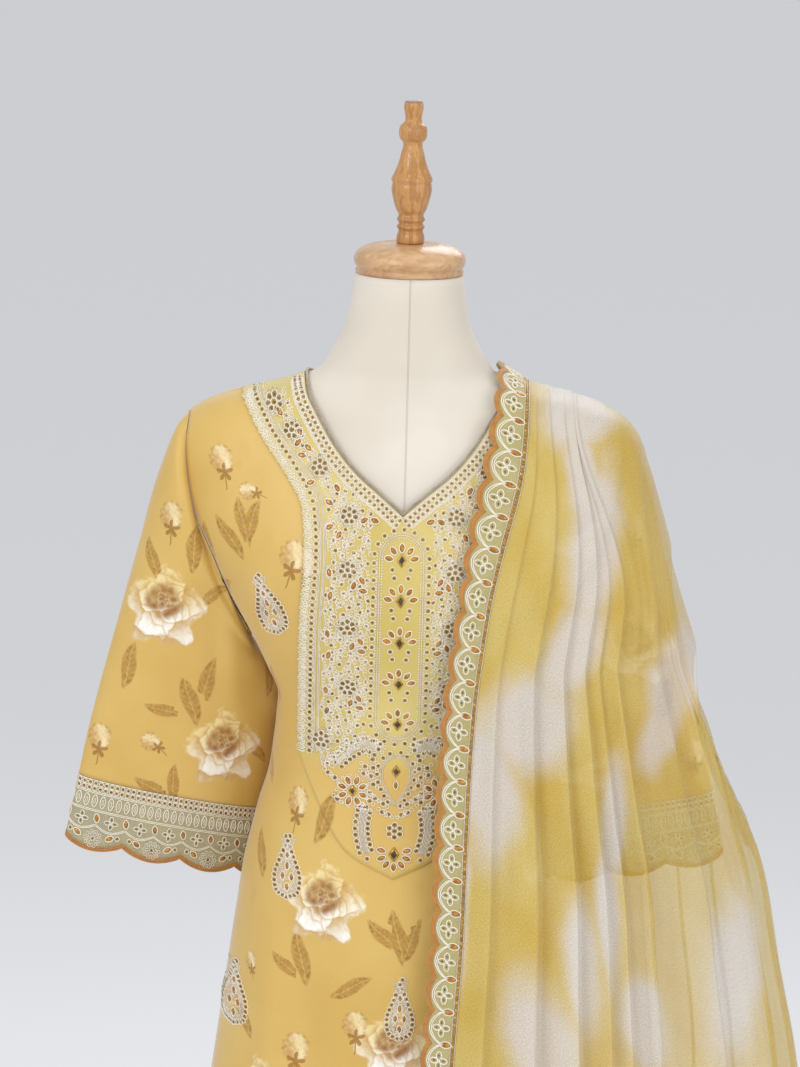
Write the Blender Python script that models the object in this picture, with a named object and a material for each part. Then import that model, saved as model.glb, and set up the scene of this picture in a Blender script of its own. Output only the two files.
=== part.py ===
"""Salwar kameez suit worn by a limbless dress form on a stand.

The suit is a V-necked kameez with a sewn-on yoke and lace cuffs, a salwar under it and a dupatta
laid over the wearer's left shoulder. Metres, +Z up, the front faces -Y, and +X is the wearer's
left. The origin is the middle of the stand's underside.
"""

import math

import bmesh
import bpy
import numpy as np

# Walls and gaps
CLOTH = 0.0012
TRIM = 0.0012
SHEER = 0.0010
SEAM = 0.0004

# Heights of the suit's main lines
KAMEEZ_HEM = 0.400
SLIT_TOP = 0.800
UNDERARM = 1.170
YOKE_CORNER = 1.072
YOKE_HALF_WIDTH = 0.093
SIDE_NECK_X = 0.0965
YOKE_SHOULDER_X = 0.155
SHOULDER_TIP_X = 0.204
HEM_SLIT = 0.020

# Cross-sections are superellipses
BODY_POWER = 2.3

# Grid counts
YOKE_COLUMNS = 6
OUTER_COLUMNS = 4
SKIRT_ROWS = 6
SIDE_ROWS = 3
ARMHOLE_ROWS = 10
NECK_SHARES = (0, 0.22, 0.42, 0.58, 0.72, 0.83, 0.92, 1)
NECK_ROW = SIDE_ROWS + ARMHOLE_ROWS + 1 - len(NECK_SHARES)
FORM_SIDES = 24
WOOD_SIDES = 18


def columns(names, rows):
    """A table as one array for each named column."""
    return dict(zip(names.split(), np.array(rows, float).T))


FORM = columns("z half_width front back", [
    (0.8000, 0.1500, 0.0950, 0.1050),
    (0.8600, 0.1470, 0.1000, 0.1120),
    (0.9100, 0.1410, 0.0980, 0.1080),
    (0.9510, 0.1340, 0.0950, 0.1020),
    (0.9830, 0.1260, 0.0900, 0.0950),
    (1.0080, 0.1180, 0.0860, 0.0890),
    (1.0350, 0.1115, 0.0820, 0.0820),
    (1.0650, 0.1085, 0.0800, 0.0780),
    (1.0920, 0.1070, 0.0815, 0.0765),
    (1.1170, 0.1080, 0.0870, 0.0770),
    (1.1400, 0.1165, 0.0980, 0.0800),
    (1.1650, 0.1290, 0.1090, 0.0840),
    (1.1900, 0.1410, 0.1165, 0.0880),
    (1.2200, 0.1470, 0.1175, 0.0900),
    (1.2500, 0.1530, 0.1120, 0.0920),
    (1.2900, 0.1660, 0.0990, 0.0920),
    (1.3250, 0.1810, 0.0865, 0.0890),
    (1.3520, 0.1930, 0.0765, 0.0840),
    (1.3680, 0.1930, 0.0690, 0.0775),
    (1.3790, 0.1880, 0.0630, 0.0720),
    (1.3875, 0.1805, 0.0600, 0.0695),
    (1.3945, 0.1675, 0.0570, 0.0670),
    (1.4015, 0.1475, 0.0550, 0.0645),
    (1.4085, 0.1245, 0.0535, 0.0630),
    (1.4160, 0.1030, 0.0525, 0.0615),
    (1.4240, 0.0860, 0.0515, 0.0600),
    (1.4340, 0.0775, 0.0520, 0.0595),
    (1.4480, 0.0695, 0.0515, 0.0575),
    (1.4660, 0.0605, 0.0510, 0.0550),
    (1.4920, 0.0545, 0.0505, 0.0520),
    (1.5180, 0.0515, 0.0505, 0.0515),
])

KAMEEZ = columns("z half_width front back", [
    (0.4000, 0.2110, 0.1270, 0.1400),
    (0.5500, 0.1960, 0.1220, 0.1330),
    (0.7000, 0.1760, 0.1155, 0.1265),
    (0.8000, 0.1630, 0.1120, 0.1215),
    (0.8600, 0.1555, 0.1120, 0.1215),
    (0.9100, 0.1490, 0.1110, 0.1200),
    (0.9510, 0.1436, 0.1095, 0.1180),
    (0.9830, 0.1365, 0.1080, 0.1160),
    (1.0080, 0.1305, 0.1070, 0.1120),
    (1.0350, 0.1225, 0.1060, 0.1070),
    (1.0650, 0.1183, 0.1050, 0.1030),
    (1.0920, 0.1158, 0.1050, 0.1010),
    (1.1170, 0.1155, 0.1070, 0.1000),
    (1.1400, 0.1260, 0.1120, 0.1000),
    (1.1650, 0.1383, 0.1185, 0.1000),
    (1.1900, 0.1525, 0.1225, 0.1005),
    (1.2200, 0.1710, 0.1240, 0.1005),
    (1.2500, 0.1900, 0.1190, 0.1000),
    (1.2900, 0.2090, 0.1060, 0.0970),
    (1.3250, 0.2175, 0.0930, 0.0940),
    (1.3520, 0.2180, 0.0830, 0.0890),
    (1.3680, 0.2140, 0.0765, 0.0840),
    (1.3790, 0.2070, 0.0715, 0.0795),
    (1.3875, 0.1965, 0.0680, 0.0765),
    (1.3945, 0.1825, 0.0645, 0.0745),
    (1.4015, 0.1625, 0.0620, 0.0715),
    (1.4085, 0.1340, 0.0600, 0.0695),
    (1.4160, 0.1070, 0.0580, 0.0670),
    (1.4240, 0.0915, 0.0560, 0.0650),
    (1.4340, 0.0820, 0.0555, 0.0630),
])

NECKLINE = columns("x z", [
    (0.0000, 1.3010), (0.0220, 1.3190), (0.0467, 1.3396), (0.0663, 1.3623),
    (0.0830, 1.3887), (0.0934, 1.4080),
])
BACK_NECKLINE = columns("x z", [
    (0.0000, 1.3930), (0.0350, 1.3945), (0.0650, 1.4010), (0.0860, 1.4110),
])
YOKE_EDGE = columns("x z", [
    (0.0930, 1.0720), (0.0940, 1.2000), (0.0930, 1.2900), (0.0960, 1.3100),
    (0.1080, 1.3310), (0.1360, 1.3700),
])
YOKE_FOOT = columns("x z", [
    (0.0000, 0.9550), (0.0450, 0.9800), (0.0750, 1.0300), (0.0930, 1.0720),
])
ARMHOLE = columns("x z", [
    (0.1577, 1.2030), (0.1766, 1.2490), (0.1970, 1.2927), (0.2045, 1.3255), (0.2065, 1.3550),
])

# One row for each ring down the sleeve, from its outer edge to its inner edge
SLEEVE = columns("outer_x outer_y outer_z inner_x inner_y inner_z half_depth bulge", [
    (0.2209, -0.014, 1.3580, 0.1400, 0.0100, 1.1570, 0.0490, 0.014),
    (0.2365, -0.012, 1.3114, 0.1295, 0.0260, 1.1380, 0.0500, 0.013),
    (0.2500, -0.009, 1.2560, 0.1150, 0.0400, 1.1150, 0.0490, 0.010),
    (0.2605, -0.006, 1.2150, 0.1145, 0.0460, 1.0920, 0.0460, 0.006),
    (0.2729, -0.004, 1.1654, 0.1160, 0.0510, 1.0650, 0.0410, 0.003),
    (0.2855, -0.002, 1.1160, 0.1180, 0.0540, 1.0400, 0.0360, 0.001),
    (0.2965, 0.000, 1.0690, 0.1220, 0.0570, 1.0120, 0.0300, 0.000),
    (0.3050, 0.002, 1.0252, 0.1300, 0.0590, 0.9840, 0.0250, 0.000),
])
CUFF_END = {"outer_x": 0.3185, "outer_y": 0.004, "outer_z": 0.9560, "inner_x": 0.1370,
            "inner_y": 0.0620, "inner_z": 0.9140, "half_depth": 0.0230, "bulge": 0.0}
CUFF_SCALLOPS = 7
CUFF_SCALLOP_DEPTH = 0.009

# The dupatta's envelope, from its ridge on the shoulder down to its hems
DUPATTA = columns("z half_width front back", [
    (0.0600, 0.4150, 0.1650, 0.1740),
    (0.4000, 0.4100, 0.1580, 0.1680),
    (0.6000, 0.4020, 0.1480, 0.1560),
    (0.7630, 0.3890, 0.1390, 0.1470),
    (0.8690, 0.3670, 0.1350, 0.1400),
    (0.9430, 0.3530, 0.1340, 0.1340),
    (1.0200, 0.3280, 0.1340, 0.1280),
    (1.1000, 0.3040, 0.1350, 0.1220),
    (1.1500, 0.2875, 0.1360, 0.1190),
    (1.2040, 0.2710, 0.1350, 0.1160),
    (1.2500, 0.2580, 0.1290, 0.1130),
    (1.3000, 0.2450, 0.1150, 0.1080),
    (1.3390, 0.2340, 0.1000, 0.1010),
    (1.3580, 0.2265, 0.0910, 0.0960),
    (1.3715, 0.2195, 0.0835, 0.0905),
    (1.3825, 0.2105, 0.0780, 0.0860),
    (1.3910, 0.1990, 0.0745, 0.0830),
    (1.3975, 0.1845, 0.0710, 0.0805),
    (1.4044, 0.1640, 0.0680, 0.0775),
    (1.4114, 0.1355, 0.0650, 0.0745),
    (1.4189, 0.1090, 0.0625, 0.0715),
    (1.4270, 0.0945, 0.0610, 0.0695),
    (1.4360, 0.0860, 0.0600, 0.0680),
])
DUPATTA_POWER = columns("z power", [(1.20, 2.0), (1.36, 2.4)])
INNER_EDGE_FRONT = columns("z x", [
    (0.060, 0.0110), (0.400, 0.0180), (0.600, 0.0240), (0.778, 0.0290), (0.897, 0.0350),
    (1.002, 0.0367), (1.079, 0.0385), (1.145, 0.0424), (1.189, 0.0475), (1.242, 0.0546),
    (1.290, 0.0603), (1.339, 0.0703), (1.379, 0.0777), (1.414, 0.0830), (1.436, 0.0860),
])
INNER_EDGE_BACK = columns("z x", [
    (0.060, 0.0350), (0.400, 0.0400), (0.800, 0.0480), (1.100, 0.0600), (1.300, 0.0740),
    (1.400, 0.0830), (1.436, 0.0860),
])
# Where each share of the dupatta's width crosses the shoulder and the upper arm, with the length
# that then falls from there
RIDGE = columns("share z fall", [
    (0.00, 1.4165, 1.010), (0.25, 1.4070, 1.015), (0.50, 1.3910, 1.030), (0.58, 1.3640, 1.035),
    (0.66, 1.3200, 1.030), (0.80, 1.2500, 1.025), (1.00, 1.1600, 1.010),
])
FOLDS_FRONT = columns("edge height", [
    (0.055, 0.55), (0.152, 0.95), (0.234, 0.85), (0.300, 0.80), (0.345, 0.55), (0.405, 1.00),
    (0.590, 0.60), (0.790, 0.45), (1.000, 0.30),
])
FOLDS_BACK = columns("edge height", [
    (0.090, 0.80), (0.180, 0.70), (0.290, 1.00), (0.380, 0.75), (0.490, 0.95), (0.610, 0.70),
    (0.790, 0.55), (1.000, 0.30),
])
FOLD_DEPTH = columns("z depth", [
    (0.060, 0.028), (0.600, 0.024), (0.900, 0.019), (1.200, 0.011), (1.360, 0.005),
    (1.432, 0.001),
])
FOLD_STEP = 0.88
DUPATTA_ROW_SHARES = (1, 0.81, 0.64, 0.49, 0.37, 0.27, 0.19, 0.13, 0.09, 0.066, 0.048, 0.032,
                      0.016, 0)
APEX = 1.160
OUTER_SLIT = 0.050
SPREAD = 0.200
BORDER = 0.033
SCALLOP = 0.030
SCALLOP_DEPTH = 0.006
SCALLOP_SEGMENTS = 3

# Salwar: the crotch lies beside the pole, which stands inside the right leg
WAIST = 1.030
WAISTBAND_HEIGHT = 0.030
CROTCH = 0.792
CROTCH_X = 0.0190
LEG_HEM = 0.075
LEG_SIDES = 18
LEG = columns("z outer_x inner_x half_depth", [
    (0.700, 0.1560, 0.0010, 0.0900),
    (0.600, 0.1570, 0.0012, 0.0840),
    (0.450, 0.1540, 0.0015, 0.0770),
    (0.300, 0.1450, 0.0015, 0.0700),
    (0.150, 0.1320, 0.0015, 0.0640),
    (LEG_HEM, 0.1260, 0.0015, 0.0620),
])

# Stand, neck cap and finial
FORM_BOTTOM = 0.800
NECK_TOP = 1.518
POLE_RADIUS = 0.0125
BASE_PROFILE = [
    (0.165, 0.000), (0.168, 0.003), (0.168, 0.008), (0.162, 0.012), (0.060, 0.018),
    (0.028, 0.026), (0.024, 0.040), (0.022, 0.046),
]
CAP_PROFILE = [
    (0.0500, 0.0000), (0.0515, 0.0030), (0.0500, 0.0055), (0.0520, 0.0085), (0.0530, 0.0130),
    (0.0515, 0.0185), (0.0470, 0.0230), (0.0390, 0.0265), (0.0280, 0.0285),
]
FINIAL_PROFILE = [
    (0.0126, 0.0000), (0.0128, 0.0080), (0.0115, 0.0120), (0.0133, 0.0155), (0.0115, 0.0190),
    (0.0133, 0.0225), (0.0118, 0.0265), (0.0140, 0.0310), (0.0172, 0.0410), (0.0190, 0.0540),
    (0.0184, 0.0570), (0.0195, 0.0600), (0.0172, 0.0660), (0.0138, 0.0740), (0.0112, 0.0840),
    (0.0099, 0.0960), (0.0122, 0.0985), (0.0134, 0.1050), (0.0122, 0.1110), (0.0090, 0.1140),
    (0.0090, 0.1310), (0.0082, 0.1340),
]
PIPING_RADIUS = 0.0015


def along(table, knot, value, at):
    """Reads a column at any knot by a cubic through the table's rows, level past its ends."""
    knots, values = table[knot], table[value]
    at = np.clip(at, knots[0], knots[-1])
    slopes = np.gradient(values, knots)
    row = np.clip(np.searchsorted(knots, at, side="right") - 1, 0, len(knots) - 2)
    step = knots[row + 1] - knots[row]
    t = (at - knots[row]) / step
    return ((2 * t**3 - 3 * t**2 + 1) * values[row] + (t**3 - 2 * t**2 + t) * step * slopes[row]
            + (3 * t**2 - 2 * t**3) * values[row + 1] + (t**3 - t**2) * step * slopes[row + 1])


def spaced(points, shares):
    """Points at the given shares of the length of a smooth curve through a few points."""
    points = np.array(points, float)
    chords = np.concatenate([[0], np.cumsum(np.linalg.norm(np.diff(points, axis=0), axis=1))])
    fine = np.linspace(0, chords[-1], 200)
    axes = [along({"s": chords, "v": column}, "s", "v", fine) for column in points.T]
    curve = np.stack(axes, axis=1)
    lengths = np.concatenate([[0], np.cumsum(np.linalg.norm(np.diff(curve, axis=0), axis=1))])
    wanted = np.asarray(shares) * lengths[-1]
    return np.stack([np.interp(wanted, lengths, column) for column in curve.T], axis=1)


def spaced_line(points, shares):
    """Points at the given shares of the length of a line with straight segments."""
    lengths = np.concatenate([[0], np.cumsum(np.linalg.norm(np.diff(points, axis=0), axis=1))])
    wanted = np.asarray(shares) * lengths[-1]
    return np.stack([np.interp(wanted, lengths, column) for column in points.T], axis=1)


def patch(bottom, top, left, right, up):
    """A patch between four edges, given as points; up holds the shares of its rows.

    Straight lines join the bottom to the top. The left and right edges then pull each row
    sideways, in proportion to how far across it a point is.
    """
    v = up[:, None, None]
    base = (1 - v) * bottom[None] + v * top[None]
    first, last = base[:, :1], base[:, -1:]
    across = (base[..., :1] - first[..., :1]) / (last[..., :1] - first[..., :1])
    return base + (1 - across) * (left[:, None] - first) + across * (right[:, None] - last)


def kameez_size(column, z):
    return along(KAMEEZ, "z", column, z)


def kameez_depth(side, x, z):
    """How far the kameez's cloth stands from the middle plane on its front or its back."""
    reach = np.clip(np.abs(x) / kameez_size("half_width", z), 0, 1)
    return kameez_size(side, z) * (1 - reach**BODY_POWER) ** (1 / BODY_POWER)


def shoulder_height(x):
    """The height of the shoulder seam at a distance from the middle."""
    z = np.linspace(1.375, 1.434, 200)
    return np.interp(-np.abs(x), -kameez_size("half_width", z), z)


def make_material(name, colour, roughness, metallic=0.0):
    material = bpy.data.materials.new(name)
    material.use_nodes = True
    shader = material.node_tree.nodes["Principled BSDF"]
    shader.inputs["Base Color"].default_value = (*colour, 1.0)
    shader.inputs["Roughness"].default_value = roughness
    shader.inputs["Metallic"].default_value = metallic
    return material


def make_object(name, points, faces, material):
    mesh = bpy.data.meshes.new(name)
    mesh.from_pydata([tuple(p) for p in points], [], faces)
    mesh.validate()
    made = bpy.data.objects.new(name, mesh)
    bpy.context.scene.collection.objects.link(made)
    mesh.materials.append(material)
    mesh.shade_smooth()
    return made


def grid_faces(rows, cols, closed):
    """Triangles of a grid whose rows go up and whose columns go round or across."""
    faces = []
    for r in range(rows - 1):
        for c in range(cols if closed else cols - 1):
            a, b = r * cols + c, r * cols + (c + 1) % cols
            faces += [(a, b, b + cols), (a, b + cols, a + cols)]
    return faces


def normals_of(grid, closed):
    """Unit normals of a grid, from the differences of its neighbours.

    Points on the side and shoulder seams get level normals, so that the two walls meet square.
    """
    if closed:
        around = np.roll(grid, -1, axis=1) - np.roll(grid, 1, axis=1)
    else:
        around = np.gradient(grid, axis=1)
    upward = np.gradient(grid, axis=0)
    normal = np.cross(around, upward)
    normal[np.abs(grid[..., 1]) < SEAM, 1] = 0
    return normal / np.linalg.norm(normal, axis=2, keepdims=True)


def shell(name, points, normals, faces, thickness, material):
    """A closed wall, half its thickness on each side of a surface, joined along open edges."""
    count = len(points)
    out = normals * thickness / 2
    inside = [tuple(count + i for i in reversed(face)) for face in faces]
    ways = {(face[i - 1], face[i]) for face in faces for i in range(3)}
    rims = [(b, a, a + count, b + count) for a, b in sorted(ways) if (b, a) not in ways]
    return make_object(name, np.concatenate([points + out, points - out]), faces + inside + rims,
                       material)


def wall(name, grid, thickness, material, closed=False):
    """A closed cloth wall with its middle on the grid. Its outside is where the normals point."""
    normals = normals_of(grid, closed)
    return shell(name, grid.reshape(-1, 3), normals.reshape(-1, 3),
                 grid_faces(*grid.shape[:2], closed), thickness, material)


def mirrored(grid):
    """The same grid on the other side of the middle, with its normals still outward."""
    return grid[:, ::-1] * (-1, 1, 1)


def turned(name, profile, height, material, sides):
    """A solid of revolution: the profile, bottom to top, is spun and closed by two flat ends."""
    mesh = bmesh.new()
    verts = [mesh.verts.new((radius, 0, height + z)) for radius, z in profile]
    edges = [mesh.edges.new(pair) for pair in zip(verts, verts[1:])]
    bmesh.ops.spin(mesh, geom=verts + edges, axis=(0, 0, 1), cent=(0, 0, 0), steps=sides,
                   angle=math.tau, use_merge=True)
    bmesh.ops.remove_doubles(mesh, verts=mesh.verts, dist=0.00001)
    bmesh.ops.holes_fill(mesh, edges=mesh.edges, sides=0)
    bmesh.ops.recalc_face_normals(mesh, faces=mesh.faces)
    data = bpy.data.meshes.new(name)
    mesh.to_mesh(data)
    mesh.free()
    made = bpy.data.objects.new(name, data)
    bpy.context.scene.collection.objects.link(made)
    data.materials.append(material)
    data.shade_smooth()
    data.set_sharp_from_angle(angle=math.radians(40))
    return made


def body_ring(half_width, front, back, z, sides, power=BODY_POWER):
    """A closed superellipse ring, counter-clockwise from above, starting on the +X side."""
    angle = np.arange(sides) / sides * math.tau
    c, s = np.cos(angle), np.sin(angle)
    depth = np.where(s > 0, back, front)
    x = half_width * np.sign(c) * np.abs(c) ** (2 / power)
    y = depth * np.sign(s) * np.abs(s) ** (2 / power)
    return np.stack([x, y, np.full(sides, z)], axis=1)


def build_form(canvas):
    """The torso and neck: rings stacked from the hips to the top of the neck."""
    heights = FORM["z"]
    rings = [body_ring(*[along(FORM, "z", c, z) for c in ("half_width", "front", "back")], z,
                       FORM_SIDES) for z in heights]
    points = np.concatenate(rings)
    faces = grid_faces(len(rings), FORM_SIDES, True)
    faces.append(tuple(reversed(range(FORM_SIDES))))
    faces.append(tuple(len(points) - FORM_SIDES + i for i in range(FORM_SIDES)))
    make_object("form_torso", points, faces, canvas)


def panel_half(side, foot, neckline):
    """The wearer's left half of the front or back panel, as (rows, columns, xyz).

    Below the foot line the rows are spread down to the hem. Above it, one patch runs from the
    middle and the neck's edge to the yoke's edge line, and the next from there to the side seam
    and the armhole. Both end at the shoulder seam.
    """
    tip_z, snp_z, yoke_z = (float(shoulder_height(x))
                            for x in (SHOULDER_TIP_X, SIDE_NECK_X, YOKE_SHOULDER_X))
    side_x = kameez_size("half_width", YOKE_CORNER)
    arm_x = kameez_size("half_width", UNDERARM)
    towards_ridge = 1 - np.linspace(1, 0, ARMHOLE_ROWS + 1) ** 2.2
    up = np.concatenate([np.linspace(0, 0.28, SIDE_ROWS, endpoint=False),
                         0.28 + 0.72 * towards_ridge])

    seam_z = np.linspace(YOKE_CORNER, UNDERARM, SIDE_ROWS + 1)
    seam = np.stack([kameez_size("half_width", seam_z), seam_z], axis=1)
    armhole = spaced([(arm_x, UNDERARM), *zip(ARMHOLE["x"], ARMHOLE["z"]), (SHOULDER_TIP_X, tip_z)],
                     towards_ridge)
    right = np.concatenate([seam[:-1], armhole])
    yoke_edge = spaced([*zip(YOKE_EDGE["x"], YOKE_EDGE["z"]), (YOKE_SHOULDER_X, yoke_z)], up)

    neck = spaced([*zip(neckline["x"], neckline["z"]), (SIDE_NECK_X, snp_z)],
                  np.linspace(0, 1, 200))
    depth = kameez_depth(side, neck[:, 0], neck[:, 1])
    neck = spaced_line(np.column_stack([neck, depth]), NECK_SHARES)[:, :2]
    middle = spaced([(0, foot["z"][0]), (0, neckline["z"][0])], up[:NECK_ROW] / up[NECK_ROW])
    left = np.concatenate([middle, neck])

    shoulder = spaced([(SIDE_NECK_X, snp_z), (YOKE_SHOULDER_X, yoke_z)],
                      np.linspace(0, 1, YOKE_COLUMNS + 1))
    tip = spaced([(YOKE_SHOULDER_X, yoke_z), (SHOULDER_TIP_X, tip_z)],
                 np.linspace(0, 1, OUTER_COLUMNS + 1))
    for line in (shoulder, tip):
        line[:, 1] = shoulder_height(line[:, 0])
    yoke_foot = spaced(list(zip(foot["x"], foot["z"])), np.linspace(0, 1, YOKE_COLUMNS + 1))
    side_foot = spaced([(YOKE_HALF_WIDTH, YOKE_CORNER), (side_x, YOKE_CORNER)],
                       np.linspace(0, 1, OUTER_COLUMNS + 1))
    upper = np.concatenate([patch(yoke_foot, shoulder, left, yoke_edge, up),
                            patch(side_foot, tip, yoke_edge, right, up)[:, 1:]], axis=1)

    share = np.linspace(0, 1, SKIRT_ROWS, endpoint=False)[:, None]
    z = KAMEEZ_HEM + share * (upper[0, :, 1][None] - KAMEEZ_HEM)
    x = upper[0, :, 0] / side_x * kameez_size("half_width", z)
    flat = np.concatenate([np.stack([x, z], axis=2), upper])

    x, z = flat[..., 0], flat[..., 1]
    y = np.maximum(kameez_depth(side, x, z), SEAM / 2)
    slit = HEM_SLIT * np.clip((SLIT_TOP - z) / (SLIT_TOP - KAMEEZ_HEM), 0, 1)
    on_seam = np.zeros(x.shape, bool)
    on_seam[: SKIRT_ROWS + SIDE_ROWS + 1, -1] = True
    on_seam[-1] = True
    y = np.where(on_seam, (SEAM + slit) / 2, y)
    sign = -1 if side == "front" else 1
    return np.stack([x, sign * y, z], axis=2)


def half_normals(half, side):
    """Outward normals of a panel's half, level along the middle, where the halves join."""
    normals = normals_of(half, False) * (1 if side == "front" else -1)
    joined = normals[: SKIRT_ROWS + NECK_ROW + 1, 0]
    joined[:, 0] = 0
    joined /= np.linalg.norm(joined, axis=1, keepdims=True)
    return normals


def both_halves(half, normals, side, joined):
    """Points, normals and faces of a panel, whose halves share their first columns' lower rows."""
    rows, cols = half.shape[:2]
    kept = np.ones((rows, cols), bool)
    kept[:joined, 0] = False
    index = np.arange(rows * cols).reshape(rows, cols)
    other = index.copy()
    other[kept] = rows * cols + np.arange(kept.sum())
    faces = [(a, b, c) for a, b, c in grid_faces(rows, cols, False)]
    other = other.ravel()
    faces += [(int(other[c]), int(other[b]), int(other[a])) for a, b, c in faces]
    if side == "back":
        faces = [face[::-1] for face in faces]
    flip = (-1, 1, 1)
    return (np.concatenate([half.reshape(-1, 3), half[kept] * flip]),
            np.concatenate([normals.reshape(-1, 3), normals[kept] * flip]), faces)


def beyond_edge(edge, normals):
    """Unit vectors that carry on a surface past its edge, from a loop round the opening."""
    following = np.roll(edge, -1, axis=0) - np.roll(edge, 1, axis=0)
    beyond = np.cross(normals, following)
    return beyond / np.linalg.norm(beyond, axis=1, keepdims=True)


def armhole_loop(front, back):
    """The sleeve's first ring: down the front of the armhole from the tip, then up the back.

    It stands beyond the panels' edges, in line with their surfaces. At the underarm it stands
    outside the side seam instead, because the sleeve turns outward there.
    """
    start = SKIRT_ROWS + SIDE_ROWS
    edge, normals = (np.concatenate([f[start:, -1][::-1], b[start + 1:-1, -1]])
                     for f, b in zip(front, back))
    low = np.clip(1 - np.abs(np.arange(len(edge)) - ARMHOLE_ROWS) / 4, 0, 1)[:, None]
    low[ARMHOLE_ROWS + 1:-1] = np.maximum(low[ARMHOLE_ROWS + 1:-1] ** 0.5, 1.4)
    beyond = beyond_edge(edge, normals) * (CLOTH / 2 + 2 * SEAM)
    beyond[ARMHOLE_ROWS] = 0
    return edge + beyond + normals * low * (CLOTH + 2 * SEAM)


def sleeve_ring(row, sides):
    """One ring: an ellipse from the outer edge, over the front, to the inner edge and back."""
    outer, inner = (np.array([row[edge + axis] for axis in "xyz"])
                    for edge in ("outer_", "inner_"))
    angle = np.arange(sides)[:, None] / sides * math.tau
    across = np.cos(angle) * (outer - inner) / 2
    bulge = np.sin(angle) ** 2 * np.array([row["bulge"], 0, 0])
    depth = np.sin(angle) * np.array([0, row["half_depth"], 0])
    return (outer + inner) / 2 + across + bulge - depth


def build_sleeves(front, back, print_cloth, lace):
    """Sleeve tubes from the armholes to the lace, and the lace cuffs with scalloped edges."""
    loop = armhole_loop(front, back)
    sides = len(loop)
    rows = [{name: SLEEVE[name][i] for name in SLEEVE} for i in range(len(SLEEVE["outer_x"]))]
    grid = np.stack([loop] + [sleeve_ring(row, sides) for row in rows])[::-1]

    lace_sides = CUFF_SCALLOPS * 6
    top, end = sleeve_ring(rows[-1], lace_sides), sleeve_ring(CUFF_END, lace_sides)
    down = (end - top) / np.linalg.norm(end - top, axis=1, keepdims=True)
    lobe = np.abs(np.sin(np.arange(lace_sides) / lace_sides * math.pi * CUFF_SCALLOPS))
    end = end - down * CUFF_SCALLOP_DEPTH * (1 - lobe[:, None] ** 0.8)
    top = top + down * SEAM
    cuff = np.stack([end, (top + end) / 2, top])
    for name, turn in (("left", lambda g: g), ("right", mirrored)):
        wall("sleeve_" + name, turn(grid), CLOTH, print_cloth, closed=True)
        wall("cuff_lace_" + name, turn(cuff), TRIM, lace, closed=True)


def build_kameez(print_cloth, yoke_cloth, lace, cord):
    level_foot = columns("x z", [(0, YOKE_CORNER), (YOKE_HALF_WIDTH, YOKE_CORNER)])
    halves = {}
    for side, foot, neckline in (("front", YOKE_FOOT, NECKLINE),
                                 ("back", level_foot, BACK_NECKLINE)):
        half = panel_half(side, foot, neckline)
        normals = half_normals(half, side)
        halves[side] = half, normals
        surface = both_halves(half, normals, side, SKIRT_ROWS + NECK_ROW + 1)
        shell("kameez_" + side, *surface, CLOTH, print_cloth)

    half, normals = (values[SKIRT_ROWS:, : YOKE_COLUMNS + 1] for values in halves["front"])
    raised = half + normals * (CLOTH / 2 + SEAM + TRIM / 2)
    surface = both_halves(raised, normals, "front", NECK_ROW + 1)
    shell("neck_yoke", *surface, TRIM, yoke_cloth)
    build_sleeves(halves["front"], halves["back"], print_cloth, lace)
    build_piping(halves["front"], halves["back"], cord)


def build_piping(front, back, cord):
    """A round cord just beyond the neck's raw edges, front and back in one loop."""
    start = SKIRT_ROWS + NECK_ROW
    flip = (-1, 1, 1)
    edge, normals = (np.concatenate([f[start:, 0][::-1] * flip, f[start + 1:, 0],
                                     b[start:-1, 0][::-1], b[start + 1:-1, 0] * flip])
                     for f, b in zip(front, back))
    loop = edge + beyond_edge(edge, normals) * (PIPING_RADIUS + 2 * SEAM) + normals * CLOTH / 2
    curve = bpy.data.curves.new("neck_piping", "CURVE")
    curve.dimensions = "3D"
    curve.bevel_depth = PIPING_RADIUS
    curve.bevel_resolution = 1
    curve.resolution_u = 1
    spline = curve.splines.new("POLY")
    spline.points.add(len(loop) - 1)
    for point, place in zip(spline.points, loop):
        point.co = (*place, 1)
    spline.use_cyclic_u = True
    made = bpy.data.objects.new("neck_piping", curve)
    curve.materials.append(cord)
    bpy.context.scene.collection.objects.link(made)


def fold_shape(folds, share):
    """Soft pleats: each one comes forward towards its edge, then steps back under it."""
    starts = np.concatenate([[0], folds["edge"][:-1]])
    which = np.clip(np.searchsorted(folds["edge"], share), 0, len(starts) - 1)
    t = (share - starts[which]) / (folds["edge"][which] - starts[which])
    rise = np.clip(t / FOLD_STEP, 0, 1)
    fall = np.clip((t - FOLD_STEP) / (1 - FOLD_STEP), 0, 1)
    return folds["height"][which] * (rise * rise * (3 - 2 * rise) - fall * fall * (3 - 2 * fall))


def fold_columns(folds):
    """Shares of the width with a column at each pleat's foot, middle, edge and step."""
    starts = np.concatenate([[0], folds["edge"][:-1]])
    widths = folds["edge"] - starts
    shares = [starts + widths * t for t in (0.0, 0.45, FOLD_STEP)]
    return np.unique(np.round(np.concatenate([*shares, [1.0]]), 5))


def dupatta_inner(side, z):
    edge = INNER_EDGE_FRONT if side == "front" else INNER_EDGE_BACK
    return along(edge, "z", "x", z)


def envelope_point(side, x, z):
    """A point of the dupatta's smooth envelope, from its distance from the middle."""
    power = along(DUPATTA_POWER, "z", "power", z)
    reach = np.clip(x / along(DUPATTA, "z", "half_width", z), 0, 1)
    depth = along(DUPATTA, "z", side, z) * (1 - reach**power) ** (1 / power)
    return np.stack([x, depth, z], axis=-1)


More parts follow.
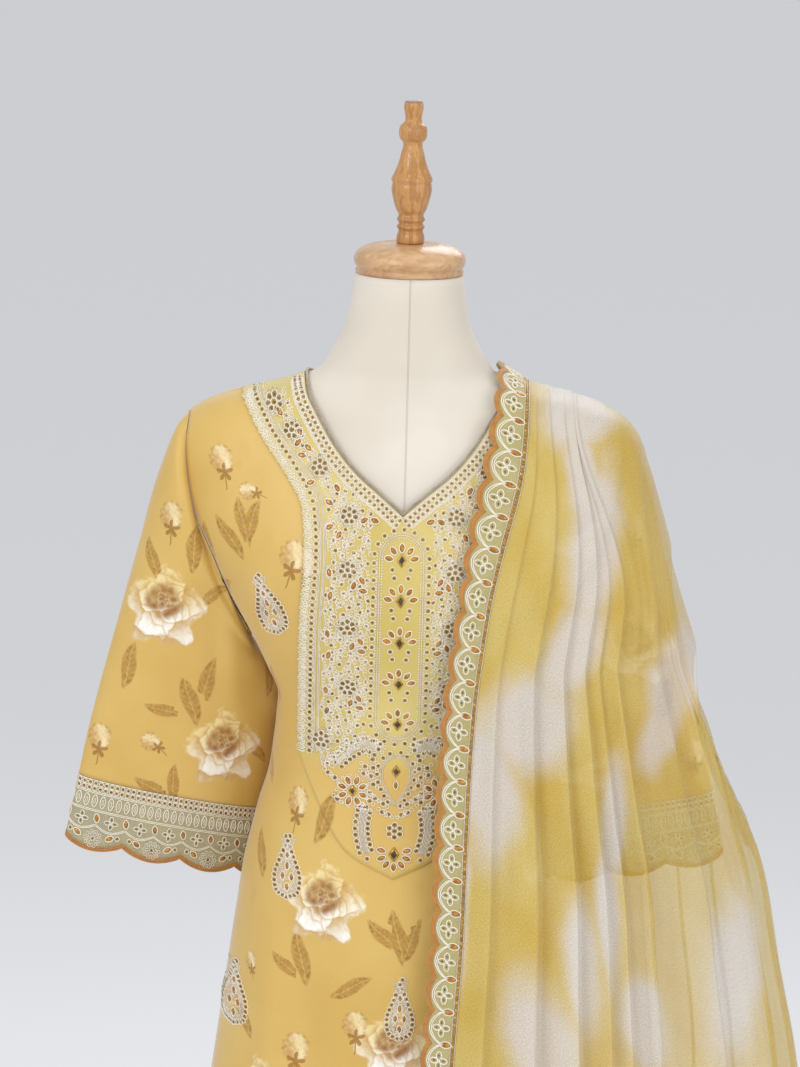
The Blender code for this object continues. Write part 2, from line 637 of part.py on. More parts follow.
def fall_heights(side, x_at, top, hem, shares):
    """Heights at given shares of the length of a line that falls over the dupatta's envelope."""
    z = top - (top - hem) * np.linspace(0, 1, 600) ** 3
    line = envelope_point(side, x_at(z), z)
    length = np.concatenate([[0], np.cumsum(np.linalg.norm(np.diff(line, axis=0), axis=1))])
    return np.interp(np.asarray(shares) * length[-1], length, z)


def column_x(side, share, z):
    """How far out one share of the dupatta's width hangs at a height.

    Low down, the width is spread round the envelope as angles, up to the share that crosses the
    arm there. Near the shoulder each column hangs straight down from its place on the ridge.
    """
    width = along(DUPATTA, "z", "half_width", z)
    power = along(DUPATTA_POWER, "z", "power", z)
    first = np.arcsin(np.clip((dupatta_inner(side, z) + BORDER) / width, 0, 1) ** (power / 2))
    fine = np.linspace(0, 1, 400)
    crossing = np.interp(-z, -along(RIDGE, "share", "z", fine), fine)
    turn = first + (math.pi / 2 - first) * np.clip(share / np.maximum(crossing, 1e-6), 0, 1)
    low = width * np.sin(turn) ** (2 / power)
    ridge = along(RIDGE, "share", "z", share)
    top = along(DUPATTA, "z", "half_width", ridge)
    down = np.clip((ridge - z) / SPREAD, 0, 1)
    return np.minimum(top + down * down * (3 - 2 * down) * (low - top), width)


def dupatta_sheet(side, folds):
    """The front or back fall, its rows going up to the shoulder ridge, its pleats pushed out."""
    sign = -1 if side == "front" else 1
    share = fold_columns(folds)[::-sign]
    top = along(RIDGE, "share", "z", share)
    hem = top - along(RIDGE, "share", "fall", share)
    z = np.stack([fall_heights(side, lambda z, s=s: column_x(side, s, z), *ends,
                               DUPATTA_ROW_SHARES) for s, *ends in zip(share, top, hem)], axis=1)
    at = np.broadcast_to(share, z.shape)
    grid = envelope_point(side, column_x(side, at, z), z) * (1, sign, 1)
    grid[-1, :, 1] = 0
    push = along(FOLD_DEPTH, "z", "depth", z) * fold_shape(folds, at)
    grid += normals_of(grid, False) * push[..., None]
    slit = OUTER_SLIT * np.clip((APEX - z) / APEX, 0, 1) * at
    grid[..., 1] += sign * (SEAM + slit) / 2
    return grid


def border_strip(side, sheet):
    """The scalloped lace along a sheet's inner edge, its rows going up to the shoulder ridge."""
    sign = -1 if side == "front" else 1
    count = int(round(RIDGE["fall"][0] / SCALLOP)) * SCALLOP_SEGMENTS
    down = np.linspace(1, 0, count + 1)
    fine = np.linspace(1.400, 1.436, 200)
    top = fine[np.argmin(np.abs(along(DUPATTA, "z", "half_width", fine)
                                - dupatta_inner(side, fine)))]
    z = fall_heights(side, lambda z: dupatta_inner(side, z), top, sheet[0, :, 2].max(), down)
    inner = envelope_point(side, dupatta_inner(side, z), z)
    inner[-1, 1] = 0
    inner[:, 1] = sign * (inner[:, 1] + SEAM / 2)
    outer = spaced_line(sheet[:, 0 if side == "front" else -1], 1 - down)
    across = inner - outer
    outer = outer + 2 * SEAM * across / np.linalg.norm(across, axis=1, keepdims=True)
    lobe = np.abs(np.cos(down * count / SCALLOP_SEGMENTS * math.pi))
    inner = inner - ((1 - lobe**0.8) * SCALLOP_DEPTH / BORDER)[:, None] * across
    return np.stack([inner, outer][::-sign], axis=1)


def build_dupatta(sheer, border):
    for side, folds in (("front", FOLDS_FRONT), ("back", FOLDS_BACK)):
        sheet = dupatta_sheet(side, folds)
        wall("dupatta_" + side, sheet, SHEER, sheer)
        wall("dupatta_border_" + side, border_strip(side, sheet), TRIM, border)


def salwar_size(column, z):
    """Part of the way out from the form to the kameez that hangs over it."""
    return 0.58 * along(FORM, "z", column, z) + 0.42 * along(KAMEEZ, "z", column, z)


def half_ring(grid_ring, left):
    """The half of the hip ring on one side of the crotch, closed by the leg's inner wall."""
    sign = 1 if left else -1
    count = LEG_SIDES // 3
    z = grid_ring[0, 2]
    inner = CROTCH_X + sign * SEAM * 2
    half_width = salwar_size("half_width", CROTCH)
    outer_sides = LEG_SIDES - count
    angle = np.linspace(-0.5, 0.5, outer_sides + 1) * math.pi
    ring = []
    for a in angle:
        depth = salwar_size("back" if a > 0 else "front", CROTCH)
        reach = np.cos(a) ** (2 / BODY_POWER)
        x = inner + sign * (half_width - sign * inner) * reach
        limit = (1 - min(abs(x) / half_width, 1) ** BODY_POWER) ** (1 / BODY_POWER)
        ring.append((x, math.copysign(depth * limit, a), z))
    ring = np.array(ring)
    steps = np.linspace(0, 1, count + 1)[1:-1, None]
    closing = ring[-1] + steps * (ring[0] - ring[-1])
    ring = np.concatenate([ring, closing])
    return ring if left else ring[::-1]


def build_salwar(cotton):
    """Waistband, hip part and two legs. The stand's pole goes down inside the right leg."""
    sides = FORM_SIDES
    snug = CLOTH / 2 + 2 * SEAM
    band = [body_ring(*[along(FORM, "z", c, z) + snug for c in ("half_width", "front", "back")],
                      z, sides) for z in (WAIST, WAIST + WAISTBAND_HEIGHT)]
    wall("salwar_waistband", np.stack(band), CLOTH, cotton, closed=True)
    heights = np.linspace(CROTCH + SEAM, WAIST - SEAM, 7)
    hips = [body_ring(*[salwar_size(c, z) for c in ("half_width", "front", "back")], z, sides)
            for z in heights[:-1]]
    hips.append(band[0] - (0, 0, SEAM))
    wall("salwar_hips", np.stack(hips), CLOTH, cotton, closed=True)

    hip_ring = np.array([[0, 0, CROTCH - SEAM]])
    for name, left in (("left", True), ("right", False)):
        sign = 1 if left else -1
        top = half_ring(hip_ring, left)
        middle = (top.max(0) + top.min(0)) / 2
        rings = [top]
        bearing = np.arctan2((top - middle)[:, 1] / 0.10, (top - middle)[:, 0] / 0.085)
        for i, z in enumerate(LEG["z"]):
            outer = sign * LEG["outer_x"][i]
            inner = CROTCH_X + sign * (SEAM * 2 + LEG["inner_x"][i])
            centre, radius = (outer + inner) / 2, abs(outer - inner) / 2
            x = centre + radius * np.cos(bearing)
            y = LEG["half_depth"][i] * np.sin(bearing)
            rings.append(np.stack([x, y, np.full(len(x), z)], axis=1))
        wall("salwar_leg_" + name, np.stack(rings)[::-1], CLOTH, cotton, closed=True)


def build_stand(wood, metal):
    turned("stand_base", BASE_PROFILE, 0, metal, 32)
    pole_foot = BASE_PROFILE[-1][1] + SEAM
    turned("stand_pole", [(POLE_RADIUS, 0), (POLE_RADIUS, FORM_BOTTOM - SEAM - pole_foot)],
           pole_foot, metal, WOOD_SIDES)
    turned("neck_cap", CAP_PROFILE, NECK_TOP + SEAM, wood, 24)
    turned("finial", FINIAL_PROFILE, NECK_TOP + 2 * SEAM + CAP_PROFILE[-1][1], wood, WOOD_SIDES)


def main():
    for old in list(bpy.data.objects):
        bpy.data.objects.remove(old)
    canvas = make_material("canvas", (0.80, 0.76, 0.70), 0.9)
    wood = make_material("wood", (0.62, 0.40, 0.20), 0.4)
    metal = make_material("metal", (0.60, 0.60, 0.60), 0.35, 1.0)
    print_cloth = make_material("print_cloth", (0.72, 0.50, 0.18), 0.6)
    yoke_cloth = make_material("yoke_cloth", (0.76, 0.66, 0.45), 0.7)
    lace = make_material("lace", (0.55, 0.50, 0.36), 0.8)
    cord = make_material("cord", (0.62, 0.56, 0.46), 0.6)
    sheer = make_material("sheer", (0.75, 0.60, 0.25), 0.5)
    border = make_material("border", (0.60, 0.42, 0.20), 0.7)
    cotton = make_material("cotton", (0.72, 0.54, 0.22), 0.7)

    build_form(canvas)
    build_stand(wood, metal)
    build_kameez(print_cloth, yoke_cloth, lace, cord)
    build_salwar(cotton)
    build_dupatta(sheer, border)


main()
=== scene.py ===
"""Salwar kameez suit on a dress form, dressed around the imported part.

Metres, +Z up. The front faces -Y and +X is the wearer's left, where the dupatta hangs.
"""

import math

import bpy
import numpy as np
from mathutils import Matrix, Vector


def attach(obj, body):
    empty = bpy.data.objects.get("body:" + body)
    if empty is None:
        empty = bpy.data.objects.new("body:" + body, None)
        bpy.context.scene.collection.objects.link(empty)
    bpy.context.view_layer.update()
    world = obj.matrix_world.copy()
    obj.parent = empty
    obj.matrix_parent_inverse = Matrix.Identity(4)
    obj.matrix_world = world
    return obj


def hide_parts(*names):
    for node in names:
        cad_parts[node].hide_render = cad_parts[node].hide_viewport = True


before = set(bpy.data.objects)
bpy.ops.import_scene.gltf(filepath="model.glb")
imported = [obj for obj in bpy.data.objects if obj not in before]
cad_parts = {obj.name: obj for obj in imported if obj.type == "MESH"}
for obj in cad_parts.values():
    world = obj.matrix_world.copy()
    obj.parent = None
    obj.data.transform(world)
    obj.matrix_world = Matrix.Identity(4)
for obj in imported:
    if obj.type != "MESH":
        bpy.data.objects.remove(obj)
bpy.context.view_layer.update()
root = "root"

# Dress form: a padded shell under cream canvas, cut in panels that meet in a seam down the
# middle of the front and along each shoulder.


def columns(names, rows):
    """A table as one array for each named column."""
    return dict(zip(names.split(), np.array(rows, float).T))


def smooth(knots, values, at):
    """Values read at any knot by a cubic through the rows, level past its ends.

    Between two rows it is the Hermite cubic with the rows' own slopes. Rows of values may be
    numbers or whole arrays.
    """
    at = np.clip(at, knots[0], knots[-1])
    slopes = np.gradient(values, knots, axis=0)
    row = np.clip(np.searchsorted(knots, at, side="right") - 1, 0, len(knots) - 2)
    step = knots[row + 1] - knots[row]
    t = (at - knots[row]) / step
    if values.ndim > 1:
        t, step = (a.reshape(-1, *[1] * (values.ndim - 1)) for a in (t, step))
    return ((2 * t**3 - 3 * t**2 + 1) * values[row] + (t**3 - 2 * t**2 + t) * step * slopes[row]
            + (3 * t**2 - 2 * t**3) * values[row + 1] + (t**3 - t**2) * step * slopes[row + 1])


def along(table, knot, value, at):
    """One column of a table at any value of another."""
    return smooth(table[knot], table[value], at)


def quads(rows, cols, around=False):
    """Faces of a grid whose rows go up and whose columns go across, or all the way round."""
    r, c = np.meshgrid(np.arange(rows - 1), np.arange(cols if around else cols - 1),
                       indexing="ij")
    a, b = r * cols + c, r * cols + (c + 1) % cols
    return np.stack([a, b, b + cols, a + cols], axis=-1).reshape(-1, 4)


def piece(name, points, faces, material, slot, maps=None, cad=()):
    """An object of the model: its mesh, its UV maps by point, its finish and what it replaces."""
    mesh = bpy.data.meshes.new(name)
    faces = [np.asarray(f) for f in (faces if isinstance(faces, list) else [faces])]
    loops = np.concatenate([f.ravel() for f in faces])
    sizes = np.concatenate([np.full(len(f), f.shape[1]) for f in faces])
    mesh.vertices.add(len(points))
    mesh.vertices.foreach_set("co", np.asarray(points, np.float32).ravel())
    mesh.loops.add(len(loops))
    mesh.loops.foreach_set("vertex_index", loops.astype(np.int32))
    mesh.polygons.add(len(sizes))
    mesh.polygons.foreach_set("loop_start", (np.cumsum(sizes) - sizes).astype(np.int32))
    mesh.update(calc_edges=True)
    mesh.shade_smooth()
    for label, values in (maps or {}).items():
        layer = mesh.uv_layers.new(name=label)
        values = values[loops] if len(values) == len(points) else values
        layer.data.foreach_set("uv", np.asarray(values, np.float32).ravel())
    mesh.materials.append(material)
    made = bpy.data.objects.new(name, mesh)
    bpy.context.scene.collection.objects.link(made)
    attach(made, root)
    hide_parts(*cad)
    return made


def tube(grid):
    """Points and faces of a closed tube: rings going up, with a fan to the middle of each end."""
    rows, sides = grid.shape[:2]
    points = np.concatenate([grid.reshape(-1, 3), [grid[0].mean(0), grid[-1].mean(0)]])
    ring = np.arange(sides)
    after = (ring + 1) % sides
    low = np.stack([after, ring, np.full(sides, rows * sides)], axis=1)
    top = (rows - 1) * sides
    high = np.stack([top + ring, top + after, np.full(sides, rows * sides + 1)], axis=1)
    return points, [quads(rows, sides, True), low, high]


def linear(red, green, blue):
    """A colour given as 0 to 255, turned into the shader's linear numbers."""
    c = np.array([red, green, blue]) / 255
    return (*np.where(c < 0.04045, c / 12.92, ((c + 0.055) / 1.055) ** 2.4), 1.0)


class Socket:
    """An output of a shader's node. Used in a sum or a product, it adds that Math node."""

    def __init__(self, tree, output=None):
        self.tree, self.output = tree, output

    def node(self, kind, inputs=None, out=0, **settings):
        """Adds any node: its settings first, then the values or links of its sockets."""
        made = self.tree.nodes.new("ShaderNode" + kind)
        for name, value in settings.items():
            setattr(made, name, value)
        for place, value in (inputs or {}).items():
            if isinstance(value, Socket):
                self.tree.links.new(value.output, made.inputs[place])
            else:
                made.inputs[place].default_value = value
        return Socket(self.tree, made.outputs[out])

    def maths(self, operation, *values):
        return self.node("Math", dict(enumerate(values)), operation=operation)

    def __add__(self, other):
        return self.maths("ADD", self, other)

    def __sub__(self, other):
        return self.maths("SUBTRACT", self, other)

    def __mul__(self, other):
        return self.maths("MULTIPLY", self, other)

    def __truediv__(self, other):
        return self.maths("DIVIDE", self, other)

    def __pow__(self, other):
        return self.maths("POWER", self, other)

    def __rsub__(self, other):
        return self.maths("SUBTRACT", other, self)

    __radd__, __rmul__ = __add__, __mul__

    def size(self):
        return self.maths("ABSOLUTE", self)

    def wave(self):
        return self.maths("SINE", self)

    def most(self, other):
        return self.maths("MAXIMUM", self, other)

    def rise(self, low, high):
        """0 below low, 1 above high, and a soft step between them. Swapped ends make it fall."""
        if low > high:
            return 1 - self.rise(high, low)
        return self.node("MapRange", {0: self, 1: low, 2: high}, interpolation_type="SMOOTHSTEP")

    def mix(self, first, second):
        """First colour where this is 0, second where it is 1."""
        return self.node("Mix", {0: self, 6: first, 7: second}, 2, data_type="RGBA")

    def parts(self):
        return [self.node("SeparateXYZ", {0: self}, i) for i in range(3)]

    def joined(self, x, y, z=0.0):
        return self.node("CombineXYZ", {0: x, 1: y, 2: z})

    def times(self, x, y, z=1.0):
        return self.node("VectorMath", {0: self, 1: (x, y, z)}, operation="MULTIPLY")

    def noise(self, scale, detail=2.0, roughness=0.5):
        return self.node("TexNoise", {"Vector": self, "Scale": scale, "Detail": detail,
                                      "Roughness": roughness})

    def bump(self, height, depth):
        """A normal with this height's relief, its full depth given in metres."""
        return self.node("Bump", {"Height": height, "Distance": depth})


def finish(name, roughness, metallic=0.0, **constants):
    """A material, with its shader and a socket to start its patterns from."""
    material = bpy.data.materials.new(name)
    material.use_nodes = True
    shader = material.node_tree.nodes["Principled BSDF"]
    shader.inputs["Roughness"].default_value = roughness
    shader.inputs["Metallic"].default_value = metallic
    for label, value in constants.items():
        shader.inputs[label.replace("_", " ")].default_value = value
    start = Socket(material.node_tree)

    def put(**links):
        for label, value in links.items():
            place = shader.inputs[label.replace("_", " ")]
            if isinstance(value, Socket):
                material.node_tree.links.new(value.output, place)
            else:
                place.default_value = value
    return material, start, put


def place_of(start):
    """Object coordinates in metres."""
    return start.node("TexCoord", out=3)


FORM = columns("z half_width front back", [
    (0.8, 0.15, 0.095, 0.105), (0.86, 0.147, 0.1, 0.112), (0.91, 0.141, 0.098, 0.108),
    (0.951, 0.134, 0.095, 0.102), (0.983, 0.126, 0.09, 0.095), (1.008, 0.118, 0.086, 0.089),
    (1.035, 0.1115, 0.082, 0.082), (1.065, 0.1085, 0.08, 0.078), (1.092, 0.107, 0.0815, 0.0765),
    (1.117, 0.108, 0.087, 0.077), (1.14, 0.1165, 0.098, 0.08), (1.165, 0.129, 0.109, 0.084),
    (1.19, 0.141, 0.1165, 0.088), (1.22, 0.147, 0.1175, 0.09), (1.25, 0.153, 0.112, 0.092),
    (1.29, 0.166, 0.099, 0.092), (1.325, 0.181, 0.0865, 0.089), (1.352, 0.193, 0.0765, 0.084),
    (1.368, 0.193, 0.069, 0.0775), (1.379, 0.188, 0.063, 0.072), (1.3875, 0.1805, 0.06, 0.0695),
    (1.3945, 0.1675, 0.057, 0.067), (1.4015, 0.1475, 0.055, 0.0645),
    (1.4085, 0.1245, 0.0535, 0.063), (1.416, 0.103, 0.0525, 0.0615), (1.424, 0.086, 0.0515, 0.06),
    (1.434, 0.0775, 0.052, 0.0595), (1.448, 0.0695, 0.0515, 0.0575), (1.466, 0.0605, 0.051, 0.055),
    (1.492, 0.0545, 0.0505, 0.052), (1.518, 0.0515, 0.0505, 0.0515),
])
BODY_POWER = 2.3
FORM_ROWS, FORM_SIDES = 120, 88
SIZES = "half_width", "front", "back"


def body_ring(half_width, front, back, z, angle, power=BODY_POWER):
    """Superellipse rings: x is the width times cos to the power 2/p, y the depth times sin."""
    c, s = np.cos(angle), np.sin(angle)
    x = half_width * np.sign(c) * np.abs(c) ** (2 / power)
    y = np.where(s > 0, back, front) * np.sign(s) * np.abs(s) ** (2 / power)
    return np.stack(np.broadcast_arrays(x, y, z), axis=-1)


def body_tube(table, z, sides):
    """Rings of a table's sizes at the heights z."""
    angle = np.arange(sides) / sides * math.tau
    sizes = [along(table, "z", c, z)[:, None] for c in SIZES]
    return body_ring(*sizes, z[:, None], angle)


canvas, start, put = finish("canvas", 0.85, Sheen_Weight=0.15)
place = place_of(start)
x, y, z = place.parts()
weave = (x * 5200).wave() * (z * 5200).wave() + place.noise(900.0) * 1.2
middle_seam = (x - 0.0012).size().rise(0.0011, 0.0004) * y.rise(0.0, -0.01)
shoulder_seam = (y - 0.002).size().rise(0.0011, 0.0004) * z.rise(1.446, 1.44)
seam = middle_seam.most(shoulder_seam * z.rise(1.39, 1.4))
soft = place.noise(9.0).rise(0.3, 0.7)
put(Base_Color=(seam * 0.28).mix(soft.mix(linear(220, 210, 194), linear(229, 221, 207)),
                                 linear(150, 145, 138)),
    Normal=start.bump(weave * 0.12 - seam * 1.0, 0.0004))
rings = body_tube(FORM, np.linspace(FORM["z"][0], FORM["z"][-1], FORM_ROWS), FORM_SIDES)
piece("dress_form", *tube(rings), canvas, "form_canvas", cad=["form_torso"])

# Neck cap and finial: turned wood, the cap of a paler wood with its grain lying across, and the
# finial varnished a honey colour. The cap closes the neck and the finial stands on it.
NECK_TOP, CAP_HEIGHT = 1.518, 0.0285
SEAM = 0.0004


def run_along(points):
    """The length of a line up to each of its points."""
    return np.concatenate([[0], np.cumsum(np.linalg.norm(np.diff(points, axis=0), axis=1))])


def turned(name, profile, height, sides, material, slot, cad, steps=60):
    """A turned piece: a cubic through the profile's radii and heights, spun about the middle."""
    profile = np.array(profile, float)
    lengths = run_along(profile)
    shape = smooth(lengths, profile, np.unique(np.concatenate(
        [lengths, np.linspace(0, lengths[-1], steps)])))
    shape = np.clip(shape, profile.min(axis=0), profile.max(axis=0))
    angle = np.arange(sides) / sides * math.tau
    grid = np.stack(np.broadcast_arrays(shape[:, :1] * np.cos(angle), shape[:, :1] * np.sin(angle),
                                        height + shape[:, 1:]), axis=-1)
    return piece(name, *tube(grid), material, slot, cad=[cad])


def wood(name, pale, dark, stretch, top=None, rings=60.0):
    """Varnished wood: long streaks from stretched noise, fine pores, and darker year rings."""
    material, start, put = finish(name, 0.34, Coat_Weight=0.35, Coat_Roughness=0.2)
    place = place_of(start)
    x, y, z = place.parts()
    streaks = place.times(*stretch).noise(1.0, 4.0, 0.6)
    year = ((streaks * 6.0 + x * rings) * 6.0).wave() * 0.5 + 0.5
    pores = place.times(stretch[0] * 9, stretch[1] * 9, stretch[2] * 5).noise(1.0, 2.0)
    tone = (streaks.rise(0.3, 0.72) * 0.6 + year * 0.25 + pores.rise(0.5, 0.75) * 0.2)
    colour = tone.mix(linear(*pale), linear(*dark))
    if top:
        colour = z.rise(*top).mix(colour, linear(120, 60, 38))
    put(Base_Color=colour, Roughness=pores * 0.15 + 0.27,
        Normal=start.bump(pores.rise(0.45, 0.7), 0.00015))
    return material


turned("cap", [
    (0.002, 0.0), (0.05, 0.0), (0.0515, 0.003), (0.05, 0.0055), (0.052, 0.0085),
    (0.053, 0.013), (0.0515, 0.0185), (0.047, 0.023), (0.039, 0.0265), (0.028, 0.0285),
    (0.002, 0.0285),
], NECK_TOP + SEAM, 72, wood("cap_wood", (218, 178, 132), (174, 126, 78), (14, 60, 60)),
    "cap_wood", "neck_cap")
turned("finial", [
    (0.001, 0.0), (0.0126, 0.0), (0.0128, 0.008), (0.0115, 0.012), (0.0133, 0.0155),
    (0.0115, 0.019), (0.0133, 0.0225), (0.0118, 0.0265), (0.014, 0.031), (0.0172, 0.041),
    (0.019, 0.054), (0.0184, 0.057), (0.0195, 0.06), (0.0172, 0.066), (0.0138, 0.074),
    (0.0112, 0.084), (0.0099, 0.096), (0.0122, 0.0985), (0.0134, 0.105), (0.0122, 0.111),
    (0.009, 0.114), (0.009, 0.131), (0.0082, 0.134), (0.001, 0.134),
], NECK_TOP + 2 * SEAM + CAP_HEIGHT, 44,
    wood("finial_wood", (214, 160, 92), (158, 100, 44), (190, 190, 22), (1.6805, 1.6812), 30.0),
    "finial_wood", "finial", 130)

# Stand: a brushed steel tube that carries the form from below, and a round cast base whose
# collar the tube stands on.
metal, start, put = finish("stand_metal", 0.32, 1.0)
place = place_of(start)
scuffs = place.times(1, 1, 0.15).noise(700.0, 3.0)
put(Base_Color=linear(176, 174, 170), Roughness=scuffs * 0.25 + 0.22,
    Normal=start.bump(scuffs, 0.00006))
turned("base", [
    (0.001, 0.0), (0.16, 0.0), (0.165, 0.0), (0.168, 0.003), (0.168, 0.008),
    (0.162, 0.012), (0.15, 0.0127), (0.072, 0.0173), (0.06, 0.018), (0.028, 0.026),
    (0.024, 0.04), (0.022, 0.046), (0.001, 0.046),
], 0, 80, metal, "stand_metal", "stand_base", 50)
turned("pole", [(0.001, 0), (0.0125, 0), (0.0125, 0.0001), (0.0125, 0.7531), (0.0125, 0.7532),
                (0.001, 0.7532)], 0.0464, 40, metal, "stand_metal", "stand_pole", 6)

# Kameez: a front and a back panel of printed satin, sewn together at the shoulders and down
# the sides to the slits. The neck is cut to a V in front, and the cloth hangs from the bust in
# a few long shallow folds.
CLOTH = 0.0012
KAMEEZ_HEM, SLIT_TOP, UNDERARM = 0.4, 0.8, 1.17
YOKE_CORNER, YOKE_HALF_WIDTH = 1.072, 0.093
SIDE_NECK_X, YOKE_SHOULDER_X, SHOULDER_TIP_X = 0.0965, 0.155, 0.204
HEM_SLIT = 0.02
YOKE_COLUMNS, OUTER_COLUMNS = 30, 24
SKIRT_ROWS, SIDE_ROWS, ARMHOLE_ROWS, NECK_ROWS = 76, 22, 60, 40
NECK_ROW = SIDE_ROWS + ARMHOLE_ROWS - NECK_ROWS

KAMEEZ = columns("z half_width front back", [
    (0.4, 0.211, 0.127, 0.14), (0.55, 0.196, 0.122, 0.133), (0.7, 0.176, 0.1155, 0.1265),
    (0.8, 0.163, 0.112, 0.1215), (0.86, 0.1555, 0.112, 0.1215), (0.91, 0.149, 0.111, 0.12),
    (0.951, 0.1436, 0.1095, 0.118), (0.983, 0.1365, 0.108, 0.116), (1.008, 0.1305, 0.107, 0.112),
    (1.035, 0.1225, 0.106, 0.107), (1.065, 0.1183, 0.105, 0.103), (1.092, 0.1158, 0.105, 0.101),
    (1.117, 0.1155, 0.107, 0.1), (1.14, 0.126, 0.112, 0.1), (1.165, 0.1383, 0.1185, 0.1),
    (1.19, 0.1525, 0.1225, 0.1005), (1.22, 0.171, 0.124, 0.1005), (1.25, 0.19, 0.119, 0.1),
    (1.29, 0.209, 0.106, 0.097), (1.325, 0.2175, 0.093, 0.094), (1.352, 0.218, 0.083, 0.089),
    (1.368, 0.214, 0.0765, 0.084), (1.379, 0.207, 0.0715, 0.0795), (1.3875, 0.1965, 0.068, 0.0765),
    (1.3945, 0.1825, 0.0645, 0.0745), (1.4015, 0.1625, 0.062, 0.0715),
    (1.4085, 0.134, 0.06, 0.0695), (1.416, 0.107, 0.058, 0.067), (1.424, 0.0915, 0.056, 0.065),
    (1.434, 0.082, 0.0555, 0.063),
])
NECKLINE = columns("x z", [
    (0.0, 1.301), (0.022, 1.319), (0.0467, 1.3396), (0.0663, 1.3623), (0.083, 1.3887),
    (0.0934, 1.408),
])
BACK_NECKLINE = columns("x z", [
    (0.0, 1.393), (0.035, 1.3945), (0.065, 1.401), (0.086, 1.411),
])
YOKE_EDGE = columns("x z", [
    (0.093, 1.072), (0.094, 1.2), (0.093, 1.29), (0.096, 1.31), (0.108, 1.331), (0.136, 1.37),
])
YOKE_FOOT = columns("x z", [
    (0.0, 0.955), (0.045, 0.98), (0.075, 1.03), (0.093, 1.072),
])
LEVEL_FOOT = columns("x z", [(0.0, YOKE_CORNER), (YOKE_HALF_WIDTH, YOKE_CORNER)])
ARMHOLE = columns("x z", [
    (0.1577, 1.203), (0.1766, 1.249), (0.197, 1.2927), (0.2045, 1.3255), (0.2065, 1.355),
])
# Soft folds of the front: a line from one end to the other, how wide it is and how far it stands
FRONT_FOLDS = columns("x z x_end z_end width height", [
    (-0.15, 1.215, -0.112, 1.29, 0.009, 0.0022), (-0.142, 1.19, -0.108, 1.235, 0.008, -0.0018),
    (-0.14, 1.18, -0.113, 1.19, 0.007, 0.002), (-0.168, 1.262, -0.13, 1.345, 0.01, -0.002),
    (-0.108, 0.985, -0.125, 0.42, 0.016, 0.0045), (-0.078, 0.93, -0.088, 0.42, 0.013, -0.0035),
    (-0.045, 0.9, -0.052, 0.42, 0.015, 0.0035), (-0.015, 0.86, -0.018, 0.42, 0.012, -0.0025),
    (0.02, 0.87, 0.026, 0.42, 0.015, 0.003), (0.07, 0.93, 0.085, 0.42, 0.016, 0.004),
    (0.112, 0.985, 0.132, 0.42, 0.015, -0.0035), (-0.116, 1.125, -0.075, 1.15, 0.008, -0.0012),
    (-0.115, 1.09, -0.085, 1.075, 0.008, 0.0012), (0.15, 1.215, 0.112, 1.29, 0.009, 0.0022),
])
BACK_FOLDS = columns("x z x_end z_end width height", [
    (-0.06, 1.09, -0.045, 0.96, 0.01, -0.002), (0.055, 1.1, 0.04, 0.95, 0.011, -0.0022),
    (-0.118, 0.96, -0.14, 0.42, 0.018, 0.005), (-0.07, 0.94, -0.082, 0.42, 0.015, -0.004),
    (-0.02, 0.96, -0.026, 0.42, 0.017, 0.0042), (0.035, 0.93, 0.042, 0.42, 0.014, -0.0035),
    (0.085, 0.95, 0.1, 0.42, 0.017, 0.0045), (0.128, 0.93, 0.15, 0.42, 0.013, -0.003),
    (-0.15, 1.2, -0.1, 1.255, 0.009, 0.002), (0.148, 1.195, 0.105, 1.25, 0.01, 0.0022),
    (-0.11, 1.1, -0.06, 1.12, 0.009, 0.0014), (0.108, 1.085, 0.06, 1.1, 0.009, 0.0014),
])


def spaced(points, shares):
    """Points at the given shares of the length of a smooth curve through a few points."""
    points = np.array(points, float)
    chords = run_along(points)
    return spaced_line(smooth(chords, points, np.linspace(0, chords[-1], 600)), shares)


def spaced_line(points, shares):
    """Points at the given shares of the length of a line with straight segments."""
    lengths = run_along(points)
    wanted = np.asarray(shares) * lengths[-1]
    return np.stack([np.interp(wanted, lengths, column) for column in points.T], axis=1)


def patch(bottom, top, left, right, up):
    """A patch between four edges. Lines join bottom to top, and the sides pull each row over."""
    v = up[:, None, None]
    base = (1 - v) * bottom[None] + v * top[None]
    first, last = base[:, :1], base[:, -1:]
    across = (base[..., :1] - first[..., :1]) / (last[..., :1] - first[..., :1])
    return base + (1 - across) * (left[:, None] - first) + across * (right[:, None] - last)


def cloth_depth(side, x, z):
    """How far the panel stands from the middle plane: depth times (1 - (x/width)^p)^(1/p)."""
    reach = np.clip(np.abs(x) / along(KAMEEZ, "z", "half_width", z), 0, 1)
    return along(KAMEEZ, "z", side, z) * (1 - reach**BODY_POWER) ** (1 / BODY_POWER)


def shoulder_height(x):
    z = np.linspace(1.375, 1.434, 400)
    return np.interp(-np.abs(x), -along(KAMEEZ, "z", "half_width", z), z)


def folded(folds, x, z):
    """The sum of the folds: each is its height times exp(-(distance/width)^2), fading out at
    both ends of its line."""
    total = np.zeros(np.shape(x))
    for i in range(len(folds["x"])):
        x0, z0, x1, z1, width, height = (folds[c][i] for c in
                                         ("x", "z", "x_end", "z_end", "width", "height"))
        length = math.hypot(x1 - x0, z1 - z0)
        ax, az = (x1 - x0) / length, (z1 - z0) / length
        run = ((x - x0) * ax + (z - z0) * az) / length
        off = (x - x0) * az - (z - z0) * ax + 0.35 * width * np.sin(run * 7 + i)
        ends = np.clip(run / 0.35, 0, 1) * np.clip((1.04 - run) / 0.25, 0, 1)
        total += height * np.exp(-(off / width) ** 2) * ends * ends * (3 - 2 * ends)
    return total


def unit(vectors):
    return vectors / np.maximum(np.linalg.norm(vectors, axis=-1, keepdims=True), 1e-12)


